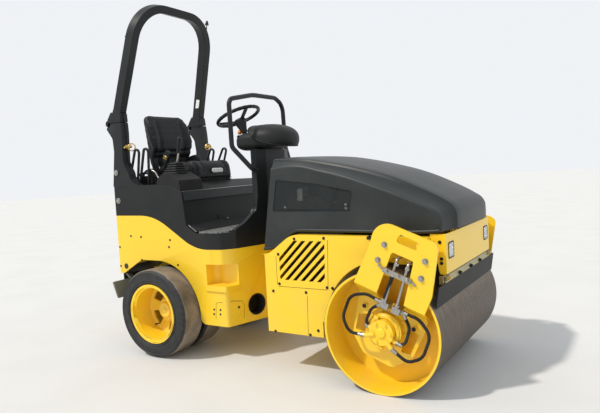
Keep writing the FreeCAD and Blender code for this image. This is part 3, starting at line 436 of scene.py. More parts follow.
# %% [markdown]
# The lamps have fluted glass, which a sine across the lens gives without any extra faces. The rear
# lenses, the white plates and the amber knobs are plain plastics with a little unevenness, because a
# flat colour is the surest sign of a drawn object.

# %% Lamp glass and plates
f = Finish("lamp_glass")
flutes = (f.y * 900.0).wave()
f.end((0.92, 0.95, 0.97, 1), 0.06, normal=f.relief(flutes, 0.00012, 0.3), Transmission_Weight=0.92, IOR=1.45)
f = Finish("white_plate")
f.end((f.noise(60.0).rise(0.5, 0.8) * 0.3).tint(srgb(238, 238, 234), srgb(180, 176, 166)), 0.5)
f = Finish("red_lens")
f.end((f.noise(40.0) * 0.3).tint(srgb(170, 18, 16), srgb(110, 10, 10)), 0.2, Coat_Weight=0.4)
f = Finish("amber_knob")
f.end((f.noise(50.0) * 0.4).tint(srgb(232, 132, 20), srgb(170, 90, 20)), 0.3, Coat_Weight=0.3)
f = Finish("floor_grey")
f.end((f.noise(1.6, 6.0).rise(0.35, 0.7) * 0.25).tint(srgb(222, 221, 218), srgb(206, 205, 202)), 0.8,
      normal=f.relief(f.noise(130.0, 4.0), 0.001, 0.25))
print("finishes:", len(finishes))

# %% [markdown]
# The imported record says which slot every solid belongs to, and the finishes carry the same names. So
# a loop can paint all the solids, and a solid that is added later is painted without a new line.

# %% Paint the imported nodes
slot_of = {part["node"]: part["material_slot"] for part in frame["record"]["subparts"]}
for node, piece in frame["nodes"].items():
    paint = finishes[slot_of[node]].material
    piece.data.materials.clear()
    piece.data.materials.append(paint)
print("painted:", len(frame["nodes"]), "solids")

# %% [markdown]
# ## From points to a finished piece
# Each piece is built as a small bmesh and then handed over in the same way. Doubles are merged so
# that seams close, normals are turned outwards, sharp edges are split by angle, and the piece gets
# its paint and its body. An optional bevel takes the razor edge off every corner, because real sheet
# and castings always catch a thin line of light there.


SAME_PLACE = 0.00005            # metres, below which two corners are one
BEVEL_FROM = math.radians(28)   # edges flatter than this are left alone


def loose(name, bm):
    """An object in the scene from a bmesh, with nothing else done to it."""
    bmesh.ops.recalc_face_normals(bm, faces=bm.faces)
    mesh = bpy.data.meshes.new(name)
    bm.to_mesh(mesh)
    bm.free()
    made = bpy.data.objects.new(name, mesh)
    scene.collection.objects.link(made)
    return made


def dress(made, paint, body, bevel=0.0, sharp=35.0, subdivide=0, segments=2):
    """Gives an object its paint, its rounded edges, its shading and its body."""
    mesh = made.data
    mesh.materials.clear()
    mesh.materials.append(finishes[paint].material)
    if bevel:
        edge = made.modifiers.new("edge", "BEVEL")
        edge.width, edge.segments = bevel, segments
        edge.limit_method, edge.angle_limit = "ANGLE", BEVEL_FROM
        edge.harden_normals = False
    if subdivide:
        smooth = made.modifiers.new("smooth", "SUBSURF")
        smooth.levels = smooth.render_levels = subdivide
    mesh.shade_smooth()
    mesh.set_sharp_from_angle(angle=math.radians(sharp))
    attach(made, body)
    return made


def keep(name, bm, paint, body, bevel=0.0, sharp=35.0, subdivide=0, segments=2):
    """Turns a bmesh into a finished piece that rides on a body."""
    bmesh.ops.remove_doubles(bm, verts=bm.verts, dist=SAME_PLACE)
    return dress(loose(name, bm), paint, body, bevel, sharp, subdivide, segments)


def plain(made):
    """The mesh that an object's modifiers give, as an object without modifiers."""
    bpy.context.view_layer.update()
    seen = made.evaluated_get(bpy.context.evaluated_depsgraph_get())
    mesh = bpy.data.meshes.new_from_object(seen)
    made.modifiers.clear()
    made.data = mesh
    return made


# %% [markdown]
# Most parts of a machine are turned, bent from tube or cut from plate. So a few builders cover them:
# a profile turned about an axle or about any line, an outline drawn to a thickness, a box between
# limits, and a band between two outlines. Each adds to a bmesh, so that one piece can hold many.

# %% Turned, cut and boxed shapes
def turned(bm, profile, x, z, side=-1, steps=96):
    """A closed profile of (radius, distance from the middle plane), turned about an axle along Y."""
    rings = []
    for i in range(steps):
        turn = 2 * math.pi * i / steps
        rings.append([bm.verts.new((x + r * math.cos(turn), side * y, z + r * math.sin(turn))) for r, y in profile])
    for i in range(steps):
        here, ahead = rings[i], rings[(i + 1) % steps]
        for j in range(len(profile)):
            k = (j + 1) % len(profile)
            if profile[j][0] < 1e-6 and profile[k][0] < 1e-6:
                continue
            bm.faces.new((here[j], here[k], ahead[k], ahead[j]))
    return bm


def disc(bm, centre, axis, profile, steps=32):
    """A closed profile of (radius, height) turned about any axis."""
    axis = Vector(axis).normalized()
    side = axis.orthogonal().normalized()
    other = axis.cross(side)
    rows = []
    for k in range(steps):
        turn = 2 * math.pi * k / steps
        way = side * math.cos(turn) + other * math.sin(turn)
        rows.append([bm.verts.new(centre + way * r + axis * h) for r, h in profile])
    for k in range(steps):
        here, beyond = rows[k], rows[(k + 1) % steps]
        for j in range(len(profile)):
            m = (j + 1) % len(profile)
            if profile[j][0] > 1e-6 or profile[m][0] > 1e-6:
                bm.faces.new((here[j], here[m], beyond[m], beyond[j]))
    return bm


def plug(radius, height):
    """The profile of a plain cylinder."""
    return [(0, 0), (radius, 0), (radius, height), (0, height)]


def rod(bm, a, b, radius, steps=20, collar=None):
    """A round rod between two places. A collar is (radius, from, to), in shares of its length."""
    length = (b - a).length
    profile = [(0, 0), (radius, 0)]
    if collar:
        wide, start, end = collar
        profile += [(radius, length * start), (wide, length * start), (wide, length * end), (radius, length * end)]
    profile += [(radius, length), (0, length)]
    return disc(bm, a, b - a, profile, steps)


def arc(r, y, radius, start, end, steps=6):
    """Points of a rounded corner in a turned profile."""
    turns = [math.radians(start + (end - start) * i / steps) for i in range(steps + 1)]
    return [(r + radius * math.cos(t), y + radius * math.sin(t)) for t in turns]


def slab(bm, outline, place, low, high):
    """An outline of (u, v) drawn from low to high, with place(u, v, w) giving the point in space."""
    bottom = [bm.verts.new(place(u, v, low)) for u, v in outline]
    top = [bm.verts.new(place(u, v, high)) for u, v in outline]
    bm.faces.new(bottom[::-1])
    bm.faces.new(top)
    for i in range(len(outline)):
        j = (i + 1) % len(outline)
        bm.faces.new((bottom[i], bottom[j], top[j], top[i]))
    return bm


def side_on(u, v, w):
    """Side view: u along X from the pivot, v up, w across."""
    return Vector((u + PIVOT, w, v))


def front_on(u, v, w):
    """Front view: u across, v up, w forward from the pivot."""
    return Vector((w + PIVOT, u, v))


def spot(x, y, z):
    """A place whose X is counted from the steering pivot."""
    return Vector((x + PIVOT, y, z))


def skin(bm, rows, loop=False):
    """Faces from row to row and from the last to the first. A loop's rows are closed, others get ends."""
    for here, beyond in zip(rows, rows[1:] + rows[:1]):
        for i in range(len(here) if loop else len(here) - 1):
            j = (i + 1) % len(here)
            bm.faces.new((here[i], here[j], beyond[j], beyond[i]))
    for end in () if loop else (0, -1):
        bm.faces.new([row[end] for row in rows])


def band(bm, outer, inner, place, low, high, loop=False):
    """A bar or ring of plate between two outlines with the same count of points."""
    skin(bm, [[bm.verts.new(place(u, v, w)) for u, v in line]
              for line, w in ((outer, low), (outer, high), (inner, high), (inner, low))], loop)


def round_corners(corners, steps=5):
    """An outline of (u, v, radius) with its corners rounded."""
    points = []
    for i, (u, v, radius) in enumerate(corners):
        here = Vector((u, v))
        back = (Vector(corners[i - 1][:2]) - here).normalized()
        ahead = (Vector(corners[(i + 1) % len(corners)][:2]) - here).normalized()
        if radius <= 0:
            points.append((u, v))
            continue
        half = back.angle(ahead) / 2
        center = here + (back + ahead).normalized() * (radius / math.sin(half))
        reach = radius / math.tan(half)
        first, last = here + back * reach - center, here + ahead * reach - center
        turn = math.atan2(first.x * last.y - first.y * last.x, first.dot(last))
        for k in range(steps + 1):
            a = turn * k / steps
            points.append((center.x + first.x * math.cos(a) - first.y * math.sin(a),
                           center.y + first.x * math.sin(a) + first.y * math.cos(a)))
    return points


def oblong(a, b, low, high, radius=0.0, steps=3):
    """The outline of a rectangle, with rounded corners if it has a radius."""
    return round_corners([(a, low, radius), (b, low, radius), (b, high, radius), (a, high, radius)], steps)


def brick(bm, x, y, z):
    """A box between limits, X counted from the steering pivot."""
    return slab(bm, oblong(*x, *z), side_on, *y)


def both(make):
    """Calls make(side) for the driver's right, -1, and left, 1."""
    return [make(side) for side in (-1, 1)]


print("a rounded square has", len(oblong(0, 1, 0, 1, 0.1)), "points")


# %% [markdown]
# ## Three node trees for what repeats
# Bolts, wires and treads repeat by the hundred. Modelling each would hide the rule behind them, so
# Geometry Nodes hold the rule once: put a hexagon head on every point, thicken every edge to a wire,
# set a raised bar on every spot of a grid. Each tree has its sizes as named inputs. A result is
# turned into a plain mesh, because an exported model knows nothing of node trees.

# %% A small kit for node trees
class Tree:
    """A Geometry Nodes tree under construction."""

    def __init__(self, name, sizes):
        self.tree = bpy.data.node_groups.new(name, "GeometryNodeTree")
        face = self.tree.interface
        face.new_socket("Geometry", in_out="INPUT", socket_type="NodeSocketGeometry")
        face.new_socket("Geometry", in_out="OUTPUT", socket_type="NodeSocketGeometry")
        for label, value in sizes.items():
            kind = "NodeSocketInt" if isinstance(value, int) else "NodeSocketFloat"
            face.new_socket(label, in_out="INPUT", socket_type=kind).default_value = value
        face.new_socket("Material", in_out="INPUT", socket_type="NodeSocketMaterial")
        self.start = self.tree.nodes.new("NodeGroupInput").outputs
        self.finish = self.tree.nodes.new("NodeGroupOutput")

    def add(self, kind, settings=None, inputs=None, out=0):
        node = self.tree.nodes.new(kind)
        for name, value in (settings or {}).items():
            setattr(node, name, value)
        for name, value in (inputs or {}).items():
            if isinstance(value, list):
                for one in value:
                    self.tree.links.new(one, node.inputs[name])
            elif isinstance(value, bpy.types.NodeSocket):
                self.tree.links.new(value, node.inputs[name])
            else:
                node.inputs[name].default_value = value
        return node.outputs[out]

    def close(self, result):
        real = self.add("GeometryNodeRealizeInstances", None, {0: result})
        painted = self.add("GeometryNodeSetMaterial", None, {"Geometry": real, "Material": self.start["Material"]})
        self.tree.links.new(painted, self.finish.inputs[0])
        return self.tree


def grown(name, base, tree, paint, body, bevel=0.0, **sizes):
    """Runs a tree on a base mesh with its sizes, and hands over the plain result."""
    made = bpy.data.objects.new(name, base)
    scene.collection.objects.link(made)
    modifier = made.modifiers.new("grow", "NODES")
    modifier.node_group = tree
    values = {label.replace("_", " "): value for label, value in sizes.items()}
    values["Material"] = finishes[paint].material
    for item in tree.interface.items_tree:
        if item.item_type == "SOCKET" and item.in_out == "INPUT" and item.name in values:
            modifier[item.identifier] = values[item.name]
    plain(made)
    bm = bmesh.new()
    bm.from_mesh(made.data)
    bmesh.ops.recalc_face_normals(bm, faces=bm.faces)
    bm.to_mesh(made.data)
    bm.free()
    return dress(made, paint, body, bevel)


print("painted by trees with any of", len(finishes), "finishes")

# %% [markdown]
# Two trees do most of the work. One sets a hexagon head on a washer at every point and turns both
# along a stored direction. The other makes curves of the edges and sweeps a small ring along them. The
# curves could be drawn as Blender curves, but points are easier to compute and to mirror.

# %% Bolt heads on points, wires on edges
def bolt_tree():
    t = Tree("bolt heads", {"Head": 0.012, "Height": 0.008, "Washer": 0.018, "Corners": 6})

    def part_height(share):
        return t.add("ShaderNodeMath", {"operation": "MULTIPLY"}, {0: t.start["Height"], 1: share})

    head = t.add("GeometryNodeMeshCylinder", None,
                 {"Vertices": t.start["Corners"], "Radius": t.start["Head"], "Depth": t.start["Height"]})
    lift = t.add("ShaderNodeCombineXYZ", None, {2: part_height(0.75)})
    head = t.add("GeometryNodeTransform", None, {"Geometry": head, "Translation": lift})
    washer = t.add("GeometryNodeMeshCylinder", None,
                   {"Vertices": 20, "Radius": t.start["Washer"], "Depth": part_height(0.35)})
    both_parts = t.add("GeometryNodeJoinGeometry", None, {0: [head, washer]})
    facing = t.add("GeometryNodeInputNamedAttribute", {"data_type": "FLOAT_VECTOR"}, {"Name": "facing"})
    turn = t.add("FunctionNodeAlignRotationToVector", {"axis": "Z"}, {"Vector": facing})
    return t.close(t.add("GeometryNodeInstanceOnPoints", None,
                         {"Points": t.start["Geometry"], "Instance": both_parts, "Rotation": turn}))


def wire_tree():
    t = Tree("wires", {"Radius": 0.002, "Corners": 5})
    lines = t.add("GeometryNodeMeshToCurve", None, {"Mesh": t.start["Geometry"]})
    ring = t.add("GeometryNodeCurvePrimitiveCircle", None,
                 {"Resolution": t.start["Corners"], "Radius": t.start["Radius"]})
    return t.close(t.add("GeometryNodeCurveToMesh", None,
                         {"Curve": lines, "Profile Curve": ring, "Fill Caps": True}))


bolts_tree, wires_tree = bolt_tree(), wire_tree()


def bolts(name, spots, body, paint="plated_steel", **sizes):
    """Bolt heads at spots of (point, outward direction)."""
    base = bpy.data.meshes.new(name)
    base.from_pydata([tuple(point) for point, _ in spots], [], [])
    facing = base.attributes.new("facing", "FLOAT_VECTOR", "POINT")
    facing.data.foreach_set("vector", [c for _, way in spots for c in Vector(way).normalized()])
    return grown(name, base, bolts_tree, paint, body, **sizes)


def wires(name, runs, body, paint, radius, corners=10):
    """Round wires or tubes along runs of points."""
    points, edges = [], []
    for run in runs:
        first = len(points)
        points += [tuple(p) for p in run]
        edges += [(first + i, first + i + 1) for i in range(len(run) - 1)]
    base = bpy.data.meshes.new(name)
    base.from_pydata(points, edges, [])
    return grown(name, base, wires_tree, paint, body, Radius=radius, Corners=corners)


def smooth_run(points, steps=8):
    """A run through points, rounded as a soft hose or bent rod rounds its corners."""
    spots = [Vector(p) for p in points]
    run = [spots[0]]
    for i in range(len(spots) - 1):
        before, here = spots[max(i - 1, 0)], spots[i]
        after, beyond = spots[i + 1], spots[min(i + 2, len(spots) - 1)]
        for k in range(1, steps + 1):
            t = k / steps
            run.append(0.5 * (2 * here + (after - before) * t + (2 * before - 5 * here + 4 * after - beyond) * t ** 2
                              + (3 * here - before - 3 * after + beyond) * t ** 3))
    return run


print("trees:", [tree.name for tree in bpy.data.node_groups])

# %% [markdown]
# ## Softened edges on the big solids
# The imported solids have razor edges, and light never catches a razor edge. Real plate is flame cut
# and ground, and mouldings have a radius. A copy of each big solid is merged (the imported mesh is
# loose triangles), its flat faces are joined again, and a Bevel modifier rounds only the edges
# sharper than an angle. The copy then stands for its solid. Some copies are also cut further, with
# a Boolean, where the real part has a slimmer outline or an opening.

# %% Merged and cut copies
def merged(node):
    """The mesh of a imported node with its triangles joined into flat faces."""
    bm = bmesh.new()
    bm.from_mesh(frame["nodes"][node].data)
    bmesh.ops.remove_doubles(bm, verts=bm.verts, dist=SAME_PLACE)
    bmesh.ops.dissolve_limit(bm, angle_limit=math.radians(0.6), verts=bm.verts, edges=bm.edges)
    return bm


def cut_away(made, cutter_bm):
    """Takes the volume of a bmesh out of an object."""
    cutter = loose("cutter", cutter_bm)
    cut = made.modifiers.new("cut", "BOOLEAN")
    cut.operation, cut.object, cut.solver = "DIFFERENCE", cutter, "EXACT"
    plain(made)
    bpy.data.objects.remove(cutter)
    return made


sample = merged("rear_frame")
print("rear frame:", len(frame["nodes"]["rear_frame"].data.polygons), "triangles,", len(sample.faces), "flat faces")
sample.free()

# %% [markdown]
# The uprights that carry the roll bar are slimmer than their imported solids, and the nose has two
# openings for the lamps. The cutters are drawn as outlines in the side view, because that is where
# their shape is seen. A list then says for each big solid its body, its rounding and its finish.

# %% What is cut from which copy
def slim(shift, from_y, to_y):
    """A cutter that leaves an upright slimmer than its gusset, on both sides of the machine."""
    line = [(-1.234, 1.80), (-1.217, 1.62), (-1.215, 1.40), (-1.196, 1.36), (-1.150, 1.29), (-1.112, 1.245),
            (-1.02, 1.235), (-1.02, 1.80)]
    bm = bmesh.new()
    for side in (-1, 1):
        slab(bm, [(u + shift, v) for u, v in line], side_on, side * from_y, side * to_y)
    return bm


def slim_socket():
    """The outer plate of an upright ends a little behind the inner one."""
    return [slim(0.0, 0.448, 0.56), slim(0.007, 0.30, 0.4481)]


def lamp_openings():
    bm = bmesh.new()
    for side in (-1, 1):
        brick(bm, (1.17, 1.25), (side * 0.325, side * 0.413), (0.754, 0.839))
    return [bm]


CUTS = {"socket_right": slim_socket, "socket_left": slim_socket, "front_panel": lamp_openings,
        "front_frame": lamp_openings}
SOFT = [
    # node, body, rounding in metres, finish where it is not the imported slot's
    ("rear_frame", "rear_frame", 0.0030, None),
    ("deck_cover", "rear_frame", 0.0060, None),
    # black rubber on the console is painted shade: the darkness under the cushion
    ("lever_console", "rear_frame", 0.0080, "black_rubber"),
    ("bulkhead", "rear_frame", 0.0030, None),
    ("seat_base", "rear_frame", 0.0030, None),
    ("seat_hanger", "rear_frame", 0.0030, None),
    ("socket_right", "rear_frame", 0.0020, None),
    ("socket_left", "rear_frame", 0.0020, None),
    ("tyre_scraper_right", "rear_frame", 0.0010, "worn_steel"),
    ("tyre_scraper_left", "rear_frame", 0.0010, "worn_steel"),
    ("front_frame", "front_frame", 0.0030, None),
    ("front_panel", "front_frame", 0.0030, None),
    ("fork_right", "front_frame", 0.0025, None),
    ("fork_left", "front_frame", 0.0025, None),
    ("scraper_beam", "front_frame", 0.0020, "olive_zinc"),
    ("drum_wiper", "front_frame", 0.0020, None),
    ("tow_clevis", "rear_frame", 0.0030, None),
    ("pivot_yoke", "rear_frame", 0.0020, None),
    ("engine", "front_frame", 0.0120, None),
]


def softened(node, body, width, paint):
    made = loose(node + "_soft", merged(node))
    for cutter in CUTS[node]() if node in CUTS else []:
        cut_away(made, cutter)
    dress(made, paint or slot_of[node], body, width)
    made.modifiers["edge"].harden_normals = True
    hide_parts(node)
    return made


soft = {row[0]: softened(*row) for row in SOFT}
print("softened:", len(soft))

# %% [markdown]
# The roll bar is one rectangular tube pulled round a former, so its two top corners are wide arcs.
# Its hoop is drawn afresh in the bar's own plane: across, and up along the lean. The feet and the
# hinge knuckles are kept from the solid, slimmed like the sockets they stand on. Two hooks and a
# small lamp on its bracket go with the bar when it folds.

# %% Roll bar
BAR_LEAN = math.atan(0.28)
BAR_FOOT = spot(-1.277, 0, 1.755)
BAR_HALF = 0.04      # half of the tube's depth
bar_up = Vector((math.sin(BAR_LEAN), 0, math.cos(BAR_LEAN)))
bar_out = Vector((math.cos(BAR_LEAN), 0, -math.sin(BAR_LEAN)))


def on_bar(u, v, w):
    """A place on the roll bar: u across, v up the lean, w forward out of its plane."""
    return BAR_FOOT + bar_up * v + bar_out * w + Vector((0, u, 0))


def bar_line(foot, inset, rise, radius):
    top = foot - inset
    return round_corners([(-foot, -0.010, 0), (-top, rise, radius), (top, rise, radius), (foot, -0.010, 0)], 16)


bm = bmesh.new()
outer, inner = bar_line(0.472, 0.061, 0.860, 0.300), bar_line(0.411, 0.060, 0.800, 0.240)
band(bm, outer, inner, on_bar, -BAR_HALF, BAR_HALF)
hoop = keep("bar_hoop", bm, "black_paint", "roll_bar", 0.004, 30, segments=3)
bm = merged("roll_bar")
bmesh.ops.bisect_plane(bm, geom=bm.verts[:] + bm.edges[:] + bm.faces[:], plane_co=on_bar(0, 0.030, 0),
                       plane_no=bar_up, clear_outer=True)
bmesh.ops.holes_fill(bm, edges=[e for e in bm.edges if e.is_boundary])
feet = loose("bar_feet", bm)
for cutter in slim_socket():
    cut_away(feet, cutter)
dress(feet, "black_paint", "roll_bar", 0.002)
for piece in (hoop, feet):
    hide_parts("roll_bar")
bm = bmesh.new()
for side in (-1, 1):
    rod(bm, on_bar(side * 0.405, 0.575, -0.039), on_bar(side * 0.407, 0.578, -0.062), 0.008, 12)
rod(bm, on_bar(0.325, 0.722, 0.030), on_bar(0.362, 0.748, 0.032), 0.008, 12)
rod(bm, on_bar(0.355, 0.742, 0.032), on_bar(0.349, 0.806, 0.032), 0.004, 12)
disc(bm, on_bar(0.349, 0.801, 0.032), Vector((0.1, 0.1, 1)),
     [(0, 0), (0.016, 0), (0.016, 0.006), (0.007, 0.034), (0, 0.036)], 16)
keep("bar_hooks", bm, "black_paint", "roll_bar", 0, 40)
bm = bmesh.new()
for side in (-1, 1):
    brick(bm, (-1.335, -1.236), (side * 0.400, side * 0.448), (1.690, 1.6962))
keep("socket_pads", bm, "black_rubber", "rear_frame", 0.0008)
print("roll bar:", len(hoop.data.polygons) + len(feet.data.polygons), "faces")

# %% [markdown]
# ## The seat
# Two vinyl pads on a black pan: foam wrapped in a tight skin, swollen between its seams, with a
# raised bolster on each side. Foam pressing on a cover is what Blender's Cloth does with pressure, so
# each pad starts as a slightly small block, is remeshed into even cells, and is blown up a little.

# %% Blowing up a pad
PRESSURE, FRAMES = 4.0, 20      # of the air in a pad, and how long it blows
CELL = 0.0065                   # metres, the size of a remeshed face
GROWTH = 0.010                  # metres, the most that a point may move


def blown(name, bm):
    """A closed block swollen by cloth pressure, no point moving further than GROWTH."""
    bmesh.ops.remove_doubles(bm, verts=bm.verts, dist=0.0001)
    pad = loose(name, bm)
    remesh = pad.modifiers.new("cells", "REMESH")
    remesh.mode, remesh.voxel_size = "VOXEL", CELL
    plain(pad)
    rest = [v.co.copy() for v in pad.data.vertices]
    cloth = pad.modifiers.new("cloth", "CLOTH")
    cloth.settings.use_pressure = True
    cloth.settings.uniform_pressure_force = PRESSURE
    cloth.settings.effector_weights.gravity = 0.0
    for step in range(1, FRAMES + 1):
        scene.frame_set(step)
    plain(pad)
    for v, start in zip(pad.data.vertices, rest):
        way = v.co - start
        if way.length > GROWTH:
            v.co = start + way * (GROWTH / way.length)
    scene.frame_set(1)
    bm = bmesh.new()
    bm.from_mesh(pad.data)
    for _ in range(2):
        bmesh.ops.smooth_vert(bm, verts=bm.verts, factor=0.5, use_axis_x=True, use_axis_y=True, use_axis_z=True)
    bmesh.ops.recalc_face_normals(bm, faces=bm.faces)
    bm.to_mesh(pad.data)
    bm.free()
    return pad


def pad_piece(pad, node):
    dress(pad, "seat_vinyl", "rear_frame", sharp=70.0, subdivide=1)
    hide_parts(node)
    return pad


print("a pad may grow by", GROWTH * 1000, "mm")

# %% [markdown]
# The cushion is a low wedge with a rolled front edge. A wide channel parts the flat middle from the
# bolsters, and cross channels give the middle its pleats. The back is drawn in at the foot, rounded
# at the shoulders, and has the same bolsters, which fade out near its top. Each face is a grid whose
# height is a function, because channels and folds are easier to write as sums than to sculpt.

# %% Cushion and back
def grid_pad(bm, count_u, count_v, front, back):
    """A closed block whose two faces are grids from functions of (u, v), each 0 to 1."""
    faces = []
    for shape in (front, back):
        faces.append([[bm.verts.new(shape(i / count_u, j / count_v)) for j in range(count_v + 1)]
                      for i in range(count_u + 1)])
    top, under = faces
    for i in range(count_u):
        for j in range(count_v):
            bm.faces.new((top[i][j], top[i + 1][j], top[i + 1][j + 1], top[i][j + 1]))
            bm.faces.new((under[i][j + 1], under[i + 1][j + 1], under[i + 1][j], under[i][j]))
    rim = [(i, 0) for i in range(count_u)] + [(count_u, j) for j in range(count_v)]
    rim += [(i, count_v) for i in range(count_u, 0, -1)] + [(0, j) for j in range(count_v, 0, -1)]
    for (i, j), (k, m) in zip(rim, rim[1:] + rim[:1]):
        bm.faces.new((top[i][j], under[i][j], under[k][m], top[k][m]))


def dip(distance, width, depth):
    """A soft groove: depth where the distance is nought, nothing beyond its width."""
    return depth * max(0.0, 1 - (distance / width) ** 2) ** 2


def bolster(v):
    """Height of the rolls at the sides, with the groove that parts them from the middle."""
    side = abs(2 * v - 1)
    return 0.020 * max(0.0, side - 0.62) / 0.38 - dip(side - 0.60, 0.07, 0.016)


def fade(value, start, end):
    """1 below start, 0 above end."""
    share = min(1.0, max(0.0, (value - start) / (end - start)))
    return 1 - share * share * (3 - 2 * share)


def cushion_top(u, v):
    rim = max(0.0, abs(2 * v - 1) - 0.80) / 0.20
    x = -1.140 + u * 0.396 - 0.026 * rim ** 2 * (u > 0.8)
    z = 1.350 + 0.020 * u + 0.6 * bolster(v) - 0.012 * rim ** 2
    z -= 0.040 * max(0.0, (u - 0.90) / 0.10) ** 2
    return side_on(x, z - dip(u - 0.36, 0.05, 0.007) - dip(u - 0.66, 0.05, 0.007), (2 * v - 1) * 0.220)


def cushion_under(u, v):
    return side_on(-1.140 + u * 0.394, 1.2475, (2 * v - 1) * 0.212)


def back_half(z):
    """Half width of the back at a height: drawn in at the foot, full above, with small shoulders."""
    foot = max(0.0, (1.42 - z) / 0.12)
    shoulder = max(0.0, (z - 1.712) / 0.052)
    return 0.220 - 0.026 * foot ** 2 - 0.050 * (1 - math.sqrt(max(0.0, 1 - shoulder ** 2)))


BACK_FOOT, BACK_TALL = 1.302, 0.464
BACK_SIDE = [(1.300, -1.196), (1.420, -1.196), (1.455, -1.176), (1.500, -1.160), (1.560, -1.158), (1.620, -1.170),
             (1.660, -1.183), (1.700, -1.198), (1.735, -1.214), (1.766, -1.228)]


def along(table, value):
    """Reads a table of (place, number) between its rows."""
    for (a, x), (b, y) in zip(table, table[1:]):
        if value <= b:
            share = max(0.0, (value - a) / (b - a))
            share = share * share * (3 - 2 * share)
            return x + (y - x) * share
    return table[-1][1]


def back_front(u, v):
    z = BACK_FOOT + u * BACK_TALL
    across = (2 * v - 1) * back_half(z)
    side = bolster(v) * fade(u, 0.80, 0.96)
    folds = sum(dip((z - 1.64 + 0.055 * k) - (across + 0.02 * k) * 0.62, 0.010, 0.0055)
                for k in range(4) if across > 0)
    crease = dip(z - 1.455 - 0.03 * v, 0.014, 0.009)
    return side_on(along(BACK_SIDE, z) - 0.014 + side - folds - crease, z, across)


def back_rear(u, v):
    z = BACK_FOOT + u * BACK_TALL
    bow = 0.004 * (1 - (2 * v - 1) ** 2)
    return side_on(-1.226 - 0.128 * (z - 1.38) - bow + 0.004 * max(0.0, (u - 0.93) / 0.07) ** 2, z,
                   (2 * v - 1) * back_half(z))


bm = bmesh.new()
grid_pad(bm, 40, 44, cushion_top, cushion_under)
cushion = pad_piece(blown("cushion", bm), "seat_cushion")
bm = bmesh.new()
grid_pad(bm, 40, 44, back_front, back_rear)
backrest = pad_piece(blown("backrest", bm), "seat_back")
print("pads:", len(cushion.data.vertices), len(backrest.data.vertices))

# %% [markdown]
# Beside the cushion sit the belt's reel covers and its buckle. Under it a ribbed boot hides the
# suspension, and a few hoses and a small relay box fill the space behind. The pale loop on the front
# edge is the handle that lets the seat slide.

# %% Reel covers, buckle, boot and handle
bm = bmesh.new()
for side in (-1, 1):
    at = spot(-1.146, side * 0.205, 1.380)
    bmesh.ops.create_icosphere(bm, subdivisions=4, radius=1.0, matrix=Matrix.Translation(at))
    for v in bm.verts:
        way = v.co - at
        if way.length < 1.01:
            size = (abs(way.x) ** 2.8 + abs(way.y) ** 2.8 + abs(way.z) ** 2.8) ** (1 / 2.8)
            v.co = at + Vector((way.x * 0.070, way.y * 0.032, way.z * 0.056 + way.x * 0.012)) / size
keep("reel_covers", bm, "black_plastic", "rear_frame", 0, 60)
bm = bmesh.new()
slab(bm, round_corners([(-1.070, 1.385, 0.008), (-1.030, 1.375, 0.008), (-0.985, 1.452, 0.010),
                        (-1.028, 1.476, 0.010)], 4), side_on, -0.232, -0.206)
rod(bm, spot(-1.045, -0.219, 1.40), spot(-1.075, -0.219, 1.30), 0.010, 14)
keep("belt_buckle", bm, "black_plastic", "rear_frame", 0.003)
bm = bmesh.new()
slab(bm, round_corners([(-1.062, 1.412, 0.005), (-1.024, 1.398, 0.005), (-1.014, 1.420, 0.005),
                        (-1.052, 1.434, 0.005)], 3), side_on, -0.236, -0.231)
keep("buckle_button", bm, "gold_zinc", "rear_frame", 0.001)
bm = bmesh.new()
for k in range(3):
    low = 1.2185 + 0.0095 * k
    brick(bm, (-1.128, -0.758), (-0.212, 0.212), (low, low + 0.006))
    brick(bm, (-1.120, -0.766), (-0.204, 0.204), (low + 0.006, low + 0.0095))
brick(bm, (-1.105, -1.045), (-0.335, -0.262), (1.2185, 1.322))
brick(bm, (-1.215, -1.135), (-0.330, -0.270), (1.2185, 1.285))
brick(bm, (-1.130, -0.90), (-0.262, -0.215), (1.2185, 1.262))
keep("seat_boot", bm, "black_rubber", "rear_frame", 0.0015)
wires("seat_hoses", [smooth_run([spot(*place) for place in run], 5) for run in (
    ((-1.235, -0.36, 1.220), (-1.225, -0.34, 1.290), (-1.165, -0.31, 1.305), (-1.105, -0.31, 1.262),
     (-1.080, -0.345, 1.219)),
    ((-1.250, -0.29, 1.220), (-1.215, -0.28, 1.315), (-1.150, -0.24, 1.330), (-1.120, -0.20, 1.300)),
    ((-1.010, -0.36, 1.219), (-1.005, -0.34, 1.262), (-0.955, -0.30, 1.268), (-0.930, -0.28, 1.219)))],
      "rear_frame", "black_rubber", 0.0085, 12)
bm = bmesh.new()
slab(bm, oblong(-0.038, 0.090, 1.283, 1.317, 0.016, 6), front_on, -0.752, -0.737)
keep("seat_handle", bm, "white_plate", "rear_frame", 0.006)
print("seat fittings done")

# %% [markdown]
# ## The hood
# The hood is one moulding: an upright side, a crisp lower ridge, a slightly hollow band, a groove,
# and a top that bulges a little. Seen from the side these are four lines that run back to front and
# then drop down the nose. So the lines are written as rows of places, smoothed, and a skin is
# stretched between them. Each station is rounded where the moulding is rounded.

# %% Lines of the hood
SKIRT = [(12, 768), (60, 772), (112, 790), (160, 822), (208, 860), (250, 884), (300, 892), (440, 892),
         (600, 892), (760, 892), (900, 892), (1010, 892), (1090, 894), (1140, 897), (1170, 900), (1182, 904)]
LOWER_RIDGE = [(95, 1292), (211, 1304), (325, 1297), (434, 1270), (540, 1245), (642, 1216), (741, 1183),
               (837, 1149), (930, 1115), (1020, 1078), (1090, 1049), (1132, 1030), (1158, 1012), (1177, 985),
               (1183, 950), (1182, 905)]
UPPER_RIDGE = [(64, 1349), (190, 1345), (303, 1337), (433, 1315), (545, 1292), (640, 1270), (740, 1244),
               (835, 1215), (930, 1179), (1020, 1139), (1095, 1104), (1150, 1074), (1203, 1040), (1232, 1003),
               (1237, 955), (1236, 907)]


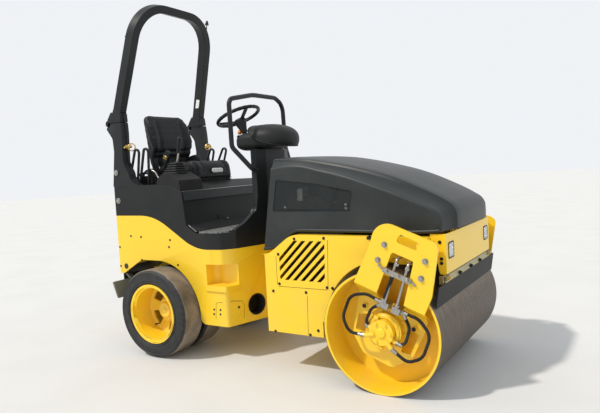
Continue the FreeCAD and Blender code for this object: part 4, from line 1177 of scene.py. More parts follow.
def line_of(rows, steps=6):
    """A smoothed row of places in the side view, in metres."""
    return smooth_run([(x / 1000, 0, z / 1000) for x, z in rows], steps)


def hood_station(skirt, low, high, forward):
    """Half of one cross section, from the skirt to the middle: points (x, y, z) at y from -0.458 to 0."""
    out = Vector((-forward.z, 0, forward.x))
    edge = -0.452
    groove = -0.365 + 0.055 * min(1.0, max(0.0, (high.x - 0.06) / 1.18))
    points = [skirt + Vector((0, -0.459, 0)), skirt.lerp(low, 0.5) + Vector((0, -0.458, 0))]
    for drop, y in ((0.016, -0.4575), (0.007, -0.4560), (0.0, edge), (-0.004, edge + 0.008)):
        points.append(low - out * drop + Vector((0, y, 0)))
    for t in (0.2, 0.4, 0.6, 0.8):
        middle = low.lerp(high, t) - out * (0.007 * math.sin(math.pi * t))
        points.append(middle + Vector((0, edge + (groove - edge) * t, 0)))
    for back, sink in ((-0.016, 0.003), (-0.009, 0.0085), (-0.003, 0.0085), (0.004, 0.0), (0.014, -0.003)):
        points.append(high - out * sink + Vector((0, groove + back, 0)))
    for t in (0.25, 0.5, 0.75, 1.0):
        points.append(high + out * (0.003 + 0.009 * math.sin(math.pi * t / 2)) + Vector((0, groove * (1 - t), 0)))
    return points


skirt_line, low_line, high_line = line_of(SKIRT), line_of(LOWER_RIDGE), line_of(UPPER_RIDGE)
print("stations:", len(high_line))

# %% [markdown]
# The half sections are mirrored into whole ones, joined by faces, and closed at the back. Solidify
# gives the moulding its wall, and a Boolean cuts the two side windows, as a trimming knife would.

# %% Skin of the hood
def hood_shell():
    bm = bmesh.new()
    rings = []
    for i in range(len(high_line)):
        forward = (high_line[min(i + 1, len(high_line) - 1)] - high_line[max(i - 1, 0)]).normalized()
        half = hood_station(skirt_line[i], low_line[i], high_line[i], forward)
        whole = half + [Vector((p.x, -p.y, p.z)) for p in half[-2::-1]]
        rings.append([bm.verts.new(p + Vector((PIVOT, 0, 0))) for p in whole])
    for here, beyond in zip(rings, rings[1:]):
        for j in range(len(here) - 1):
            bm.faces.new((here[j], beyond[j], beyond[j + 1], here[j + 1]))
    back = rings[0]
    for j in range(len(back) // 2):
        k = len(back) - 1 - j
        if k - 1 > j + 1:
            bm.faces.new((back[j], back[j + 1], back[k - 1], back[k]))
        elif k - 1 == j + 1:
            bm.faces.new((back[j], back[j + 1], back[k]))
    for v in bm.verts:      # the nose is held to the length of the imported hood
        if v.co.x > 1.270:
            v.co.x = 1.270 + (v.co.x - 1.270) * 0.78
    bmesh.ops.remove_doubles(bm, verts=bm.verts, dist=0.0002)
    bmesh.ops.recalc_face_normals(bm, faces=bm.faces)
    top = max(bm.faces, key=lambda f: f.calc_center_median().z)
    if top.normal.z < 0:
        bmesh.ops.reverse_faces(bm, faces=bm.faces)
    mesh = bpy.data.meshes.new("hood_shell")
    bm.to_mesh(mesh)
    bm.free()
    return bpy.data.objects.new("hood_shell", mesh)


WINDOW = round_corners([(0.095, 1.018, 0.012), (0.643, 1.018, 0.014), (0.662, 1.136, 0.014),
                        (0.420, 1.186, 0.0), (0.131, 1.218, 0.014)])
hood = hood_shell()
scene.collection.objects.link(hood)
wall = hood.modifiers.new("wall", "SOLIDIFY")
wall.thickness, wall.offset = 0.005, -1
plain(hood)
bm = bmesh.new()
both(lambda side: slab(bm, WINDOW, side_on, side * 0.40, side * 0.50))
cut_away(hood, bm)
dress(hood, "hood_plastic", "hood", sharp=24.0)
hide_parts("hood")
print("hood:", len(hood.data.polygons), "faces")

# %% [markdown]
# A rolled lip stiffens the hood's lower edge. It follows the skirt line, so the same points carry a
# tube, half of which stands out of the side. The windows are filled with crossed wires. An image of
# mesh would be lighter, but real wires stay sharp in a close view and cast real shadows.

# %% Lip, wire mesh and what shows behind it
def along_skirt(side, out, rise):
    return [(p.x + PIVOT, side * out, p.z + rise) for p in skirt_line[:-2]]


wires("hood_lip", [along_skirt(s, 0.4575, 0.010) for s in (-1, 1)], "hood", "hood_plastic", 0.0105, 12)


def clipped(outline, start, way):
    """The stretch of an endless line that lies inside a convex outline of (u, v)."""
    low, high = -9.0, 9.0
    for (ax, ay), (bx, by) in zip(outline, outline[1:] + outline[:1]):
        normal = (ay - by, bx - ax)
        speed = normal[0] * way[0] + normal[1] * way[1]
        gap = normal[0] * (start[0] - ax) + normal[1] * (start[1] - ay)
        if abs(speed) < 1e-9:
            continue
        t = -gap / speed
        if speed > 0:
            low = max(low, t)
        else:
            high = min(high, t)
    return low, high


def window_mesh(side, pitch=0.0120):
    """Crossed wires on the slant, woven by setting the two layers a wire apart."""
    grown_out = [(u + (0.008 if u > 0.4 else -0.008), v + (0.008 if v > 1.1 else -0.008)) for u, v in WINDOW]
    runs = []
    for slant, layer in ((1, 0.4515), (-1, 0.4495)):
        way = (math.cos(math.radians(52)), slant * math.sin(math.radians(52)))
        for k in range(-90, 140):
            start = (0.1 + k * pitch, 1.1)
            low, high = clipped(grown_out, start, way)
            if high - low > 0.004:
                runs.append([(start[0] + way[0] * t + PIVOT, side * layer, start[1] + way[1] * t)
                             for t in (low, high)])
    name = "mesh_right" if side < 0 else "mesh_left"
    made = wires(name, runs, "hood", "mesh_steel", 0.0013, 4)
    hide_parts("grille_right" if side < 0 else "grille_left")
    return len(runs)


print("wires in a window:", both(window_mesh))

# %% [markdown]
# Behind the mesh the dark engine bay shows a casting, a bright ribbed filter can and two pulleys, and
# small clips hold the mesh. The casting is a dark slab behind each window, with a second dark slab
# behind each louvre, and their dark grey is painted shade: the darkness inside the bay. A whole engine
# would never be seen, so only these shapes are made, set close behind the window, where a glance from
# outside would find them.

# %% Engine bay
# dark slabs behind the window and the louvre; their dark grey is painted shade inside the engine bay
bm = bmesh.new()
for side in (-1, 1):
    brick(bm, (0.10, 0.42), (side * 0.30, side * 0.26), (1.02, 1.10))
    brick(bm, (0.10, 0.520), (side * 0.32, side * 0.30), (0.54, 0.88))
keep("casting_and_bay_shade", bm, "axle_steel", "front_frame", 0.003)
bm = bmesh.new()
for side in (-1, 1):
    brick(bm, (0.214, 0.252), (side * 0.345, side * 0.27), (1.075, 1.155))
    for low in (1.083, 1.109, 1.135):
        brick(bm, (0.210, 0.256), (side * 0.350, side * 0.34), (low, low + 0.008))
keep("filter_can", bm, "plated_steel", "front_frame", 0.003)
bm = bmesh.new()
for side in (-1, 1):
    turned(bm, [(0.0, 0.27), (0.052, 0.27), (0.052, 0.33), (0.046, 0.338), (0.0, 0.338)],
           0.43 + PIVOT, 1.105, side, 28)
    turned(bm, [(0.0, 0.27), (0.03, 0.27), (0.03, 0.32), (0.0, 0.32)], 0.17 + PIVOT, 1.13, side, 20)
keep("engine_pulleys", bm, "engine_paint", "front_frame", 0.0015)
bolts("window_clips", [(spot(x, side * 0.4435, z), (0, side, 0)) for side in (-1, 1)
                       for x, z in ((0.612, 1.035), (0.610, 1.058), (0.182, 1.045))], "hood",
      Head=0.006, Height=0.006, Washer=0.008)
print("engine bay filled")

# %% [markdown]
# ## Instrument cover
# The cover over the instruments is two mouldings: a boxy body, and a smooth cap that laps over its
# front like a visor. Both are super-ellipsoids, a family of shapes between a ball and a box. The cap
# is the part of one that lies within a cone around a slanted direction, so its rim is a clean curve.

# %% A ball that can be squared off
def puffed(direction, centre, reach, power):
    """The point of a squared-off ball in a direction."""
    scaled = [abs(direction[i]) / reach[i] for i in range(3)]
    size = sum(s ** power for s in scaled) ** (1 / power)
    return Vector([centre[i] + direction[i] / size for i in range(3)])


def cap_shell(centre, reach, power, pole, spread, wide, rings=18, steps=64):
    bm = bmesh.new()
    pole = Vector(pole).normalized()
    across = Vector((0, 1, 0))
    down = across.cross(pole)
    rows = []
    for i in range(1, rings + 1):
        row = []
        for k in range(steps):
            turn = 2 * math.pi * k / steps
            angle = math.radians(spread + wide * math.sin(turn) ** 2) * i / rings
            way = pole * math.cos(angle) + (down * math.cos(turn) + across * math.sin(turn)) * math.sin(angle)
            way = Vector([way[j] * reach[j] for j in range(3)])
            row.append(bm.verts.new(puffed(way, centre, reach, power)))
        rows.append(row)
    tip = bm.verts.new(puffed(Vector([pole[j] * reach[j] for j in range(3)]), centre, reach, power))
    for k in range(steps):
        bm.faces.new((tip, rows[0][k], rows[0][(k + 1) % steps]))
    for here, beyond in zip(rows, rows[1:]):
        for k in range(steps):
            bm.faces.new((here[k], beyond[k], beyond[(k + 1) % steps], here[(k + 1) % steps]))
    return bm


print("a ball's corner, squared off:", [round(c, 2) for c in puffed((1, 1, 1), (0, 0, 0), (1, 1, 1), 3.2)])

# %% [markdown]
# The cap gets a wall from Solidify and a bead of wire along its rim, since a moulded edge is thicker
# than its wall. The body is a ball squared off, then cut twice by a plane: once at its foot, and once
# in front, where the cut leaves the flat, slanted panel.

# %% Cap and body
bm = cap_shell((-0.222 + PIVOT, 0, 1.498), (0.218, 0.199, 0.112), 2.35, (0.74, 0, 0.67), 70, 14)
rim_line = [v.co.copy() for v in bm.verts if v.is_boundary]
cap = loose("cover_cap", bm)
lip = cap.modifiers.new("lip", "SOLIDIFY")
lip.thickness, lip.offset = 0.012, -1
plain(cap)
dress(cap, "black_plastic", "rear_frame", sharp=50.0)

BODY_REACH = (0.178, 0.166, 0.070)
bm = bmesh.new()
bmesh.ops.create_icosphere(bm, subdivisions=5, radius=1.0)
for v in bm.verts:
    way = Vector([v.co[i] * BODY_REACH[i] for i in range(3)])
    v.co = puffed(way, (-0.270 + PIVOT, 0, 1.492), BODY_REACH, 3.2)
panel_at, panel_way = spot(-0.395, 0, 1.535), Vector((-0.72, 0, 0.69))
for at, way in ((panel_at, panel_way), (Vector((0, 0, 1.430)), Vector((0, 0, -1)))):
    bmesh.ops.bisect_plane(bm, geom=bm.verts[:] + bm.edges[:] + bm.faces[:], plane_co=at, plane_no=way,
                           clear_outer=True)
    bmesh.ops.holes_fill(bm, edges=[e for e in bm.edges if e.is_boundary])
cover_body = keep("cover_body", bm, "black_plastic", "rear_frame", 0.004, 40)
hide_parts("instrument_cover")
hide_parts("instrument_cover")
wires("cap_lip", [rim_line + rim_line[:1]], "rear_frame", "black_plastic", 0.0052, 10)
print("cover:", len(cap.data.polygons) + len(cover_body.data.polygons), "faces")

# %% [markdown]
# The panel carries a round gauge, a key switch and a row of push buttons. They sit on the slanted
# face, so they are placed by two directions in that face.

# %% Gauge, key and buttons
face_up = Vector((0.69, 0, 0.72)).normalized()
face_out = panel_way.normalized()


def on_panel(across, up_face, out):
    return panel_at + Vector((0, across, 0)) + face_up * up_face + face_out * out


bm = bmesh.new()
disc(bm, on_panel(0, 0.002, -0.002), face_out,
     [(0, 0), (0.036, 0), (0.036, 0.008), (0.032, 0.010), (0.031, 0.005), (0, 0.005)])
for across in (-0.10, -0.075, 0.075, 0.10):
    disc(bm, on_panel(across, 0.004, -0.002), face_out,
         [(0, 0), (0.009, 0), (0.009, 0.007), (0.007, 0.009), (0, 0.009)], 20)
keep("panel_gauge", bm, "bolt_black", "rear_frame")
bm = bmesh.new()
disc(bm, on_panel(-0.135, 0.0, -0.002), face_out, plug(0.012, 0.006), 24)
keep("key_switch", bm, "plated_steel", "rear_frame")
print("panel: a gauge, a key switch and four buttons")

# %% [markdown]
# ## Handrail
# The handrail is one bent tube. Its centre line is a list of corners, and a small routine turns each
# corner into an arc of the bender's radius. A spline through the corners would be quicker to write,
# but it would sag between them, and a tube from a bender runs straight from arc to arc.

# %% Bent tubes
def bent(corners, steps=8):
    """A run of points through corners (x, y, z, bend radius)."""
    run = [Vector(corners[0][:3])]
    for i in range(1, len(corners) - 1):
        here = Vector(corners[i][:3])
        back = (Vector(corners[i - 1][:3]) - here).normalized()
        ahead_way = (Vector(corners[i + 1][:3]) - here).normalized()
        half = back.angle(ahead_way) / 2
        if half > 1.565 or corners[i][3] <= 0:
            run.append(here)
            continue
        radius = corners[i][3]
        centre = here + (back + ahead_way).normalized() * (radius / math.sin(half))
        first = here + back * (radius / math.tan(half)) - centre
        last = here + ahead_way * (radius / math.tan(half)) - centre
        sweep = math.pi - 2 * half
        for k in range(steps + 1):
            share = k / steps
            way = first * math.sin((1 - share) * sweep) + last * math.sin(share * sweep)
            run.append(centre + way / math.sin(sweep))
    run.append(Vector(corners[-1][:3]))
    return run


rail = [(-0.195, -0.207, 1.283, 0), (-0.205, -0.252, 1.300, 0.038), (-0.300, -0.335, 1.452, 0.06),
        (-0.302, -0.336, 1.778, 0.050), (-0.302, -0.06, 1.826, 0.5), (-0.302, 0.225, 1.824, 0.10),
        (-0.302, 0.325, 1.778, 0.10), (-0.302, 0.337, 1.45, 0.06), (-0.205, 0.252, 1.300, 0.038),
        (-0.195, 0.207, 1.283, 0)]
rail = [(x + PIVOT, y, z, r) for x, y, z, r in rail]
made = wires("handrail_tube", [bent(rail)], "rear_frame", "black_paint", 0.0165, 20)
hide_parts("handrail")
bolts("rail_bolts", [(spot(-0.198, side * 0.218, 1.285), (0.3, side, 0)) for side in (-1, 1)],
      "rear_frame", "bolt_black", Head=0.010, Height=0.008, Washer=0.020)
print("handrail:", len(made.data.polygons), "faces")

# %% [markdown]
# ## Steering wheel
# The rim's foam is thicker than its ring and ribbed for the fingers, the hub is a cone, and one spoke
# is broad with a slot in it. The wheel stands at a slant, so its axis and one direction across it are
# fixed first. Every point is then an angle, a radius and a drop along the axis.

# %% Wheel
WHEEL_TILT = math.radians(22)
wheel_axis = Vector((-math.sin(WHEEL_TILT), 0, math.cos(WHEEL_TILT)))
wheel_back = Vector((math.cos(WHEEL_TILT), 0, math.sin(WHEEL_TILT)))
wheel_centre = spot(-0.487, 0, 1.691)


def on_wheel(turn, radius, drop):
    way = wheel_back * math.cos(turn) + Vector((0, 1, 0)) * math.sin(turn)
    return wheel_centre + way * radius - wheel_axis * drop


bm = bmesh.new()
steps = 72
rings = []
for i in range(steps):
    turn = 2 * math.pi * i / steps
    grip = 0.0132 + 0.0007 * math.cos(24 * turn)
    rings.append([bm.verts.new(on_wheel(turn, 0.160 + grip * math.cos(a), -grip * math.sin(a)))
                  for a in (2 * math.pi * k / 14 for k in range(14))])
for here, beyond in zip(rings, rings[1:] + rings[:1]):
    for k in range(14):
        bm.faces.new((here[k], beyond[k], beyond[(k + 1) % 14], here[(k + 1) % 14]))
disc(bm, wheel_centre - wheel_axis * 0.132, wheel_axis,
     [(0, 0), (0.024, 0), (0.026, 0.022), (0.043, 0.075), (0.047, 0.094), (0.040, 0.106), (0, 0.110)])
disc(bm, wheel_centre - wheel_axis * 0.215, wheel_axis, plug(0.0165, 0.09), 24)
for turn in (math.radians(95), math.radians(215), math.radians(335)):
    side_way = on_wheel(turn + math.pi / 2, 1, 0) - wheel_centre
    for w in (-1, 1) if turn < 2 else (0,):
        inner, outer = on_wheel(turn, 0.030, 0.036), on_wheel(turn, 0.152, 0.002)
        half = 0.0105 if w else 0.013
        corners = []
        for end, shift in ((inner, 0.016), (outer, 0.022)):
            middle = end + side_way * (w * shift)
            for a, b in ((-half, -0.005), (half, -0.005), (half, 0.005), (-half, 0.005)):
                corners.append(bm.verts.new(middle + side_way * a + wheel_axis * b))
        for k in range(4):
            m = (k + 1) % 4
            bm.faces.new((corners[k], corners[m], corners[4 + m], corners[4 + k]))
        bm.faces.new(corners[3::-1])
        bm.faces.new(corners[4:])
wheel = keep("steering_wheel_rim", bm, "steering_plastic", "rear_frame", 0, 45)
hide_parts("steering_wheel")
bm = bmesh.new()
disc(bm, on_wheel(math.pi, 0.030, 0.105), -wheel_axis - wheel_back * 0.6 - Vector((0, 0.8, 0)),
     [(0, 0), (0.014, 0), (0.017, 0.010), (0.013, 0.024), (0, 0.027)], 20)
keep("column_lever_knobs", bm, "amber_knob", "rear_frame")
print("wheel:", len(wheel.data.polygons), "faces")

# %% [markdown]
# ## Travel lever
# The lever comes out of a ribbed rubber boot, squarish like the console's opening, and ends in a
# tapered grip. A smaller bent lever stands behind it. The boot is a stack of rounded squares whose
# size swells and shrinks at every rib while the whole narrows towards the neck.

# %% Boot, lever and grip
def round_square(centre, half_x, half_y, steps=48, power=5.0):
    """Points of a rounded square around a centre, level."""
    ring = []
    for k in range(steps):
        turn = 2 * math.pi * k / steps
        c, s = math.cos(turn), math.sin(turn)
        size = (abs(c) ** power + abs(s) ** power) ** (1 / power)
        ring.append(centre + Vector((c / size * half_x, s / size * half_y, 0)))
    return ring


RIBS = 6
bm = bmesh.new()
rings = []
for k in range(4 * RIBS + 1):
    share = k / (4 * RIBS)
    swell = (0.0, 0.9, 1.0, 0.9)[k % 4]
    centre = spot(-0.806 + 0.002 * share, -0.372 + 0.014 * share, 1.274 + 0.100 * share)
    half = 0.030 + 0.042 * (1 - share)
    rings.append([bm.verts.new(p) for p in round_square(centre, half + 0.011 * swell, half + 0.010 * swell)])
for here, beyond in zip(rings, rings[1:]):
    for k in range(len(here)):
        m = (k + 1) % len(here)
        bm.faces.new((here[k], here[m], beyond[m], beyond[k]))
bm.faces.new(rings[0][::-1])
bm.faces.new(rings[-1])
boot = keep("lever_boot", bm, "black_rubber", "rear_frame", 0, 50)
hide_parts("drive_lever")
bm = bmesh.new()
rod(bm, spot(-0.800, -0.355, 1.365), spot(-0.779, -0.355, 1.442), 0.0075, 20, (0.0105, 0.02, 0.16))
keep("lever_rod", bm, "plated_steel", "rear_frame")
bm = bmesh.new()
disc(bm, spot(-0.781, -0.355, 1.438), Vector((0.022, 0, 0.115)),
     [(0, 0), (0.0105, 0), (0.0125, 0.012), (0.0135, 0.060), (0.0155, 0.095), (0.0150, 0.108),
      (0.010, 0.117), (0, 0.119)], 28)
grip = keep("lever_grip", bm, "steering_plastic", "rear_frame", 0, 50)
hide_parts("drive_lever")
bent_lever = [(-0.975, -0.44, 1.327), (-0.940, -0.44, 1.308), (-0.912, -0.44, 1.270), (-0.868, -0.44, 1.268)]
wires("small_lever", [smooth_run([spot(*place) for place in bent_lever], 6)], "rear_frame",
      "plated_steel", 0.0052, 12)
print("boot:", RIBS, "ribs")

# %% [markdown]
# Two slim hoops on each side keep the driver's hip clear of the levers. Each is one rod, bent into a
# narrow arch that leans forward.

# %% Guard hoops
hoops = {-1: [], 1: []}
for side in (-1, 1):
    for top, y in ((-1.128, 0.428), (-1.008, 0.452)):
        hoops[side].append(bent([(top - 0.128, side * 0.412, 1.2185, 0), (top - 0.020, side * y, 1.482, 0.024),
                                 (top + 0.026, side * y, 1.490, 0.024), (top - 0.034, side * 0.412, 1.2185, 0)], 7))
for side, node in ((-1, "seat_rails_right"), (1, "seat_rails_left")):
    shifted = [[p + Vector((PIVOT, 0, 0)) for p in run] for run in hoops[side]]
    made = wires("guard_" + node[11:], shifted, "rear_frame", "black_paint", 0.0098, 16)
    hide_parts(node)
print("guard hoops:", sum(len(runs) for runs in hoops.values()))

# %% [markdown]
# ## Around the driver
# The roll bar's posts are locked by zinc pins with a ring through each. A pin is a rod with a collar.
# Its ring is a circle of short rods, which is less trouble than a torus that has to be turned into
# place, because each rod only needs its two ends.

# %% Lock pins with rings
pins, rings_bm = bmesh.new(), bmesh.new()
for side in (-1, 1):
    at = spot(-1.205, side * 0.458, 1.508)
    rod(pins, at + Vector((-0.05, 0, 0)), at + Vector((0.030, 0, 0.002)), 0.0095, 20, (0.0165, 0.62, 0.86))
    cross = Vector((0, 0.034 * side, -0.004))
    middle = at + Vector((0.016, 0, 0))
    rod(pins, middle - cross, middle + cross, 0.0068, 14, (0.0105, 0.0, 0.22))
    centre = at + Vector((0.030, -side * 0.026, -0.002))
    for k in range(24):
        a, b = (2 * math.pi * (k + j) / 24 for j in (0, 1))
        ends = [centre + Vector((0.45 * math.cos(t), math.cos(t) * 0.89, math.sin(t))) * 0.0265 for t in (a, b)]
        rod(rings_bm, *ends, 0.0046, 8)
pins_piece = keep("lock_pins_zinc", pins, "gold_zinc", "rear_frame", 0.001)
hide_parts("lock_pins")
keep("lock_pin_rings", rings_bm, "gold_zinc", "rear_frame", 0, 60)
print("lock pins:", len(pins_piece.data.polygons), "faces")

# %% [markdown]
# Each side panel shows two big capped bolts and, below them, a hole of the frame, drawn as a shallow
# dark grey disc whose colour is painted shade inside the hole. A small sign plate sits on the seat box
# and another on the roll bar. Both are left blank, as this is nobody's machine in particular. A decal
# would need an image, while a thin slab already catches the light.

# %% Capped bolts, painted hole shade, blank plates
bm = bmesh.new()
for side in (-1, 1):
    for x, z in ((-1.290, 1.320), (-1.286, 1.109)):
        disc(bm, spot(x, side * 0.497, z), (0, side, 0),
             [(0, 0), (0.0215, 0), (0.0215, 0.005), (0.0165, 0.007), (0.015, 0.0125), (0.010, 0.0145), (0, 0.015)], 28)
keep("panel_caps", bm, "plated_steel", "rear_frame", 0, 50)
# a shallow dark disc: painted shade in a hole of the frame
bm = bmesh.new()
for side in (-1, 1):
    disc(bm, spot(-1.254, side * 0.499, 0.612), (0, side, 0),
         [(0, 0), (0.0215, 0), (0.0215, 0.0020), (0.0198, 0.0027), (0.0182, 0.0015), (0, 0.0015)], 32)
keep("frame_hole_shade", bm, "axle_steel", "rear_frame")
bm = bmesh.new()
slab(bm, oblong(-0.150, -0.089, 0.942, 0.972, 0.004),
     lambda u, v, w: Vector((w - (v - 0.957) * 0.10 + PIVOT, u, v)), -0.6195, -0.616)
keep("blank_plate", bm, "black_plastic", "rear_frame", 0.0004)
bm = bmesh.new()
slab(bm, oblong(0.0, 0.036, 0.0, 0.078, 0.006),
     lambda u, v, w: Vector((-1.262 + u + v * 0.268 + PIVOT, w, 1.848 + v)), 0.3975, 0.4005)
keep("bar_plate", bm, "white_plate", "roll_bar", 0.0004)
print("caps, plugs and two blank plates")

# %% [markdown]
# The tail is not in the photograph. A machine of this kind has a lamp at each corner, red outside and
# amber inside, and a bolted cover over the tank between them, so both are added in a plain form. Each
# lamp is three slabs with rounded corners, a case and two lenses that stand a little out of it.

# %% Tail lamps and cover
def on_tail(u, v, w):
    return side_on(-1.340 - w, v, u)


cases, reds, ambers, screws = bmesh.new(), bmesh.new(), bmesh.new(), []
for side in (-1, 1):
    for target, left, right, low, high, inner, outer in (
            (cases, 0.318, 0.452, 0.834, 0.902, -0.002, 0.018), (reds, 0.384, 0.446, 0.840, 0.896, 0.015, 0.023),
            (ambers, 0.324, 0.380, 0.840, 0.896, 0.015, 0.022)):
        slab(target, oblong(side * left, side * right, low, high, 0.008), on_tail, inner, outer)
    screws += [(on_tail(side * y, z, 0.0), (-1, 0, 0))
               for y, z in ((0.262, 0.745), (0.262, 0.925), (0.470, 0.610), (0.470, 0.955))]
keep("tail_lamps", cases, "black_plastic", "rear_frame", 0.002)
keep("tail_lenses_red", reds, "red_lens", "rear_frame", 0.003)
keep("tail_lenses_amber", ambers, "amber_knob", "rear_frame", 0.003)
bolts("tail_bolts", screws, "rear_frame", "bolt_black", Head=0.0075, Height=0.006, Washer=0.011)
seam = oblong(-0.284, 0.284, 0.722, 0.948)
wires("tail_seam", [[on_tail(u, v, 0.0) for u, v in seam + seam[:1]]], "rear_frame", "bolt_black", 0.0013, 6)
print("tail screws:", len(screws))

# %% [markdown]
# The tread plate's pattern is pairs of short bars that lie across each other. A grid of points, every
# second one turned by a quarter, carries one flat lozenge of twelve faces.

# %% Tread pattern by Geometry Nodes
def tread_tree():
    t = Tree("tread bars", {"Length": 0.011, "Width": 0.0034, "Height": 0.0012})
    bar = t.add("GeometryNodeMeshCylinder", None, {"Vertices": 6, "Radius": 1.0, "Depth": 1.0})
    size = t.add("ShaderNodeCombineXYZ", None, {0: t.start["Length"], 1: t.start["Width"], 2: t.start["Height"]})
    bar = t.add("GeometryNodeTransform", None, {"Geometry": bar, "Scale": size})
    turn = t.add("GeometryNodeInputNamedAttribute", {"data_type": "FLOAT_VECTOR"}, {"Name": "turn"})
    return t.close(t.add("GeometryNodeInstanceOnPoints", None,
                         {"Points": t.start["Geometry"], "Instance": bar, "Rotation": turn}))


def tread_spots(x_from, x_to, half, z, pitch=0.021):
    spots, turns = [], []
    for i in range(int((x_to - x_from) / pitch)):
        for j in range(int(2 * half / pitch)):
            x, y = x_from + (i + 0.5) * pitch, -half + (j + 0.5) * pitch
            if abs(y) > 0.46 - max(0.0, x + 0.44) * 0.45:
                continue
            spots.append((x + PIVOT, y, z))
            turns += [0, 0, math.radians(45 if (i + j) % 2 else -45)]
    return spots, turns


def tread_bars(name, spots, turns, paint):
    """Raised bars on spots, each turned by three angles."""
    base = bpy.data.meshes.new(name)
    base.from_pydata(spots, [], [])
    base.attributes.new("turn", "FLOAT_VECTOR", "POINT").data.foreach_set("vector", turns)
    grown(name, base, bars_tree, paint, "rear_frame")
    print(name, len(spots))


bars_tree = tread_tree()
tread_bars("tread_bars", *tread_spots(-0.600, -0.270, 0.478, 0.8795), "plated_steel")

# %% [markdown]
# The tread plate turns up at the seat box, so that heels have something to push on. The turned-up
# part is painted black and its bars a darker steel than the floor's, as painted shade on the slope. A
# bright strip edges it, and another edges the lip of the box above; both are painted highlights. The
# turned-up part has a place function of its own, so plate, strips and bars are all written as if it
# lay flat.

# %% Turned-up plate, painted highlight strips, pedal pin
def on_rise(u, v, w):
    """A place on the turned-up plate: u across, v up its slope, w out of it."""
    return Vector((-0.541 - 0.830 * v + 0.535 * w + PIVOT, u, 0.880 + 0.535 * v + 0.830 * w))


# black plastic on the turned-up plate is painted shade
bm = bmesh.new()
slab(bm, oblong(-0.486, 0.486, 0.0, 0.088), on_rise, 0.0, 0.003)
keep("shaded_heel_plate", bm, "black_plastic", "rear_frame", 0.0008)
# bright plated strips along the plate's edges and the box's lip are painted highlights
bm = bmesh.new()
for u in (-0.484, 0.484):
    slab(bm, oblong(u - 0.0025, u + 0.0025, 0.0, 0.090), on_rise, 0.0, 0.006)
slab(bm, oblong(-0.486, 0.486, 1.163, 1.1665), front_on, -0.652, -0.6395)
rod(bm, spot(-0.612, -0.058, 0.918), spot(-0.600, -0.058, 0.936), 0.008, 14)
keep("heel_highlights_and_pin", bm, "plated_steel", "rear_frame", 0.0005)
bm = bmesh.new()
slab(bm, oblong(-0.486, 0.486, 0.0, 0.062),
     lambda u, v, w: Vector((-0.6395 + 0.020 * (1 - v / 0.062) + w + PIVOT, u, 1.1005 + v)), -0.024, 0.0)
keep("box_fascia", bm, "hood_plastic", "rear_frame", 0.001)
# bars in a darker steel than the floor's: painted shade on the slope
spots, turns = [], []
for i in range(3):
    for j in range(45):
        spots.append(tuple(on_rise(-0.472 + 0.021 * (j + 0.5), 0.016 + 0.024 * i, 0.0032)))
        turns += [0, math.radians(-32.8), math.radians(90 + (45 if (i + j) % 2 else -45))]
tread_bars("shaded_heel_bars", spots, turns, "axle_steel")

# %% [markdown]
# ## Arches and the frame's front face
# Under the frame a dark web and a dark liner close the wheel arches, so no daylight shows past the
# tyres. Their black is painted shade, the darkness under the frame. The liner is one outline of
# straight runs and an arc, drawn across the arch and given a small thickness, because it only has to
# be dark and in the right place.

# %% Arch web and liner
# dark web and liner: painted shade under the frame
bm = bmesh.new()
brick(bm, (-1.300, -0.560), (-0.012, 0.012), (0.470, 0.666))
brick(bm, (-1.330, -1.318), (-0.470, 0.470), (0.440, 0.5560))
keep("arch_shade_web", bm, "black_paint", "rear_frame", 0.003)
REACH = 0.381
line = [(-1.286, 0.5555), (-1.262, 0.5555), (-1.100, 0.6655), (-0.915, 0.6655)]
line += [(-0.917 + REACH * math.sin(math.radians(t)), 0.2845 + REACH * math.cos(math.radians(t)))
         for t in range(8, 90, 8)]
line += [(-0.536, 0.2845)]
bm = bmesh.new()
for side in (-1, 1):
    skin(bm, [[bm.verts.new(side_on(u - k * 0.0015 * (u > -0.9), v - k * 0.0015, side * y)) for u, v in line]
              for k, y in ((0, 0.494), (0, 0.135), (1, 0.135), (1, 0.494))])
liner = keep("arch_shade_liner", bm, "black_plastic", "rear_frame", 0, 40)
print("arch liner:", len(liner.data.polygons), "faces")

# %% [markdown]
# The front face of the rear frame slants outwards. In it a hole for the cables is lined with a black
# tube, which is painted shade inside the hole, and a hatch with hinges and a keyhole gives access to
# the joint. One function turns a width and a height into a place on that slant, and the other side is
# its mirror image.

# %% Cable hole and hatch
def face_way(side):
    """The direction out of the slanting front face of the rear frame."""
    return Vector((0.9557, 0.2943 * side, 0))


def face_spot(y, z, out, side):
    """A place on that face, or a distance out of it."""
    return spot(-0.290 + (0.5 - y) * 0.308, side * y, z) + face_way(side) * out


# the black tube is painted shade inside the cable hole
hole_shade_and_key, screws = bmesh.new(), []
for side in (-1, 1):
    disc(hole_shade_and_key, face_spot(0.266, 0.351, -0.090, side), face_way(side),
         [(0, 0), (0.0755, 0), (0.0755, 0.091), (0.071, 0.093), (0.068, 0.091), (0.068, 0.004), (0, 0.004)], 48)
    disc(hole_shade_and_key, face_spot(0.413, 0.359, 0.0, side), face_way(side), plug(0.009, 0.002), 20)
    screws += [(spot(x / 1000, side * 0.5, z / 1000), (0, side, 0))
               for x, z in ((-410, 351), (-413, 319), (-354, 353), (-357, 322))]
keep("cable_hole_shade", hole_shade_and_key, "bolt_black", "rear_frame", 0, 40)
bolts("hatch_hinges", screws, "rear_frame", "bolt_black", Head=0.0055, Height=0.003, Washer=0.0075)
HATCH = [(-399, 500, 284), (-389, 500, 398), (-340, 500, 406), (-296, 494, 413), (-276, 462, 411), (-255, 385, 397),
         (-251, 371, 367), (-252, 376, 277)]
wires("hatch_seam", [[(x / 1000 + PIVOT, side * y / 1000, z / 1000) for x, y, z in HATCH] for side in (-1, 1)],
      "rear_frame", "bolt_black", 0.0014, 6)
print("front face done")

# %% [markdown]
# ## Wheels
# The tyres have no tread pattern, but their sidewalls carry raised rings, and the rims a folded lip,
# a ring of nuts round the hub and a valve. Most of it is turned about the wheel's own axle, so one
# profile a ring is enough. The rim's outer lip leans inwards on a copy of its solid, where moving one
# circle of corners does what a new drawing would do.

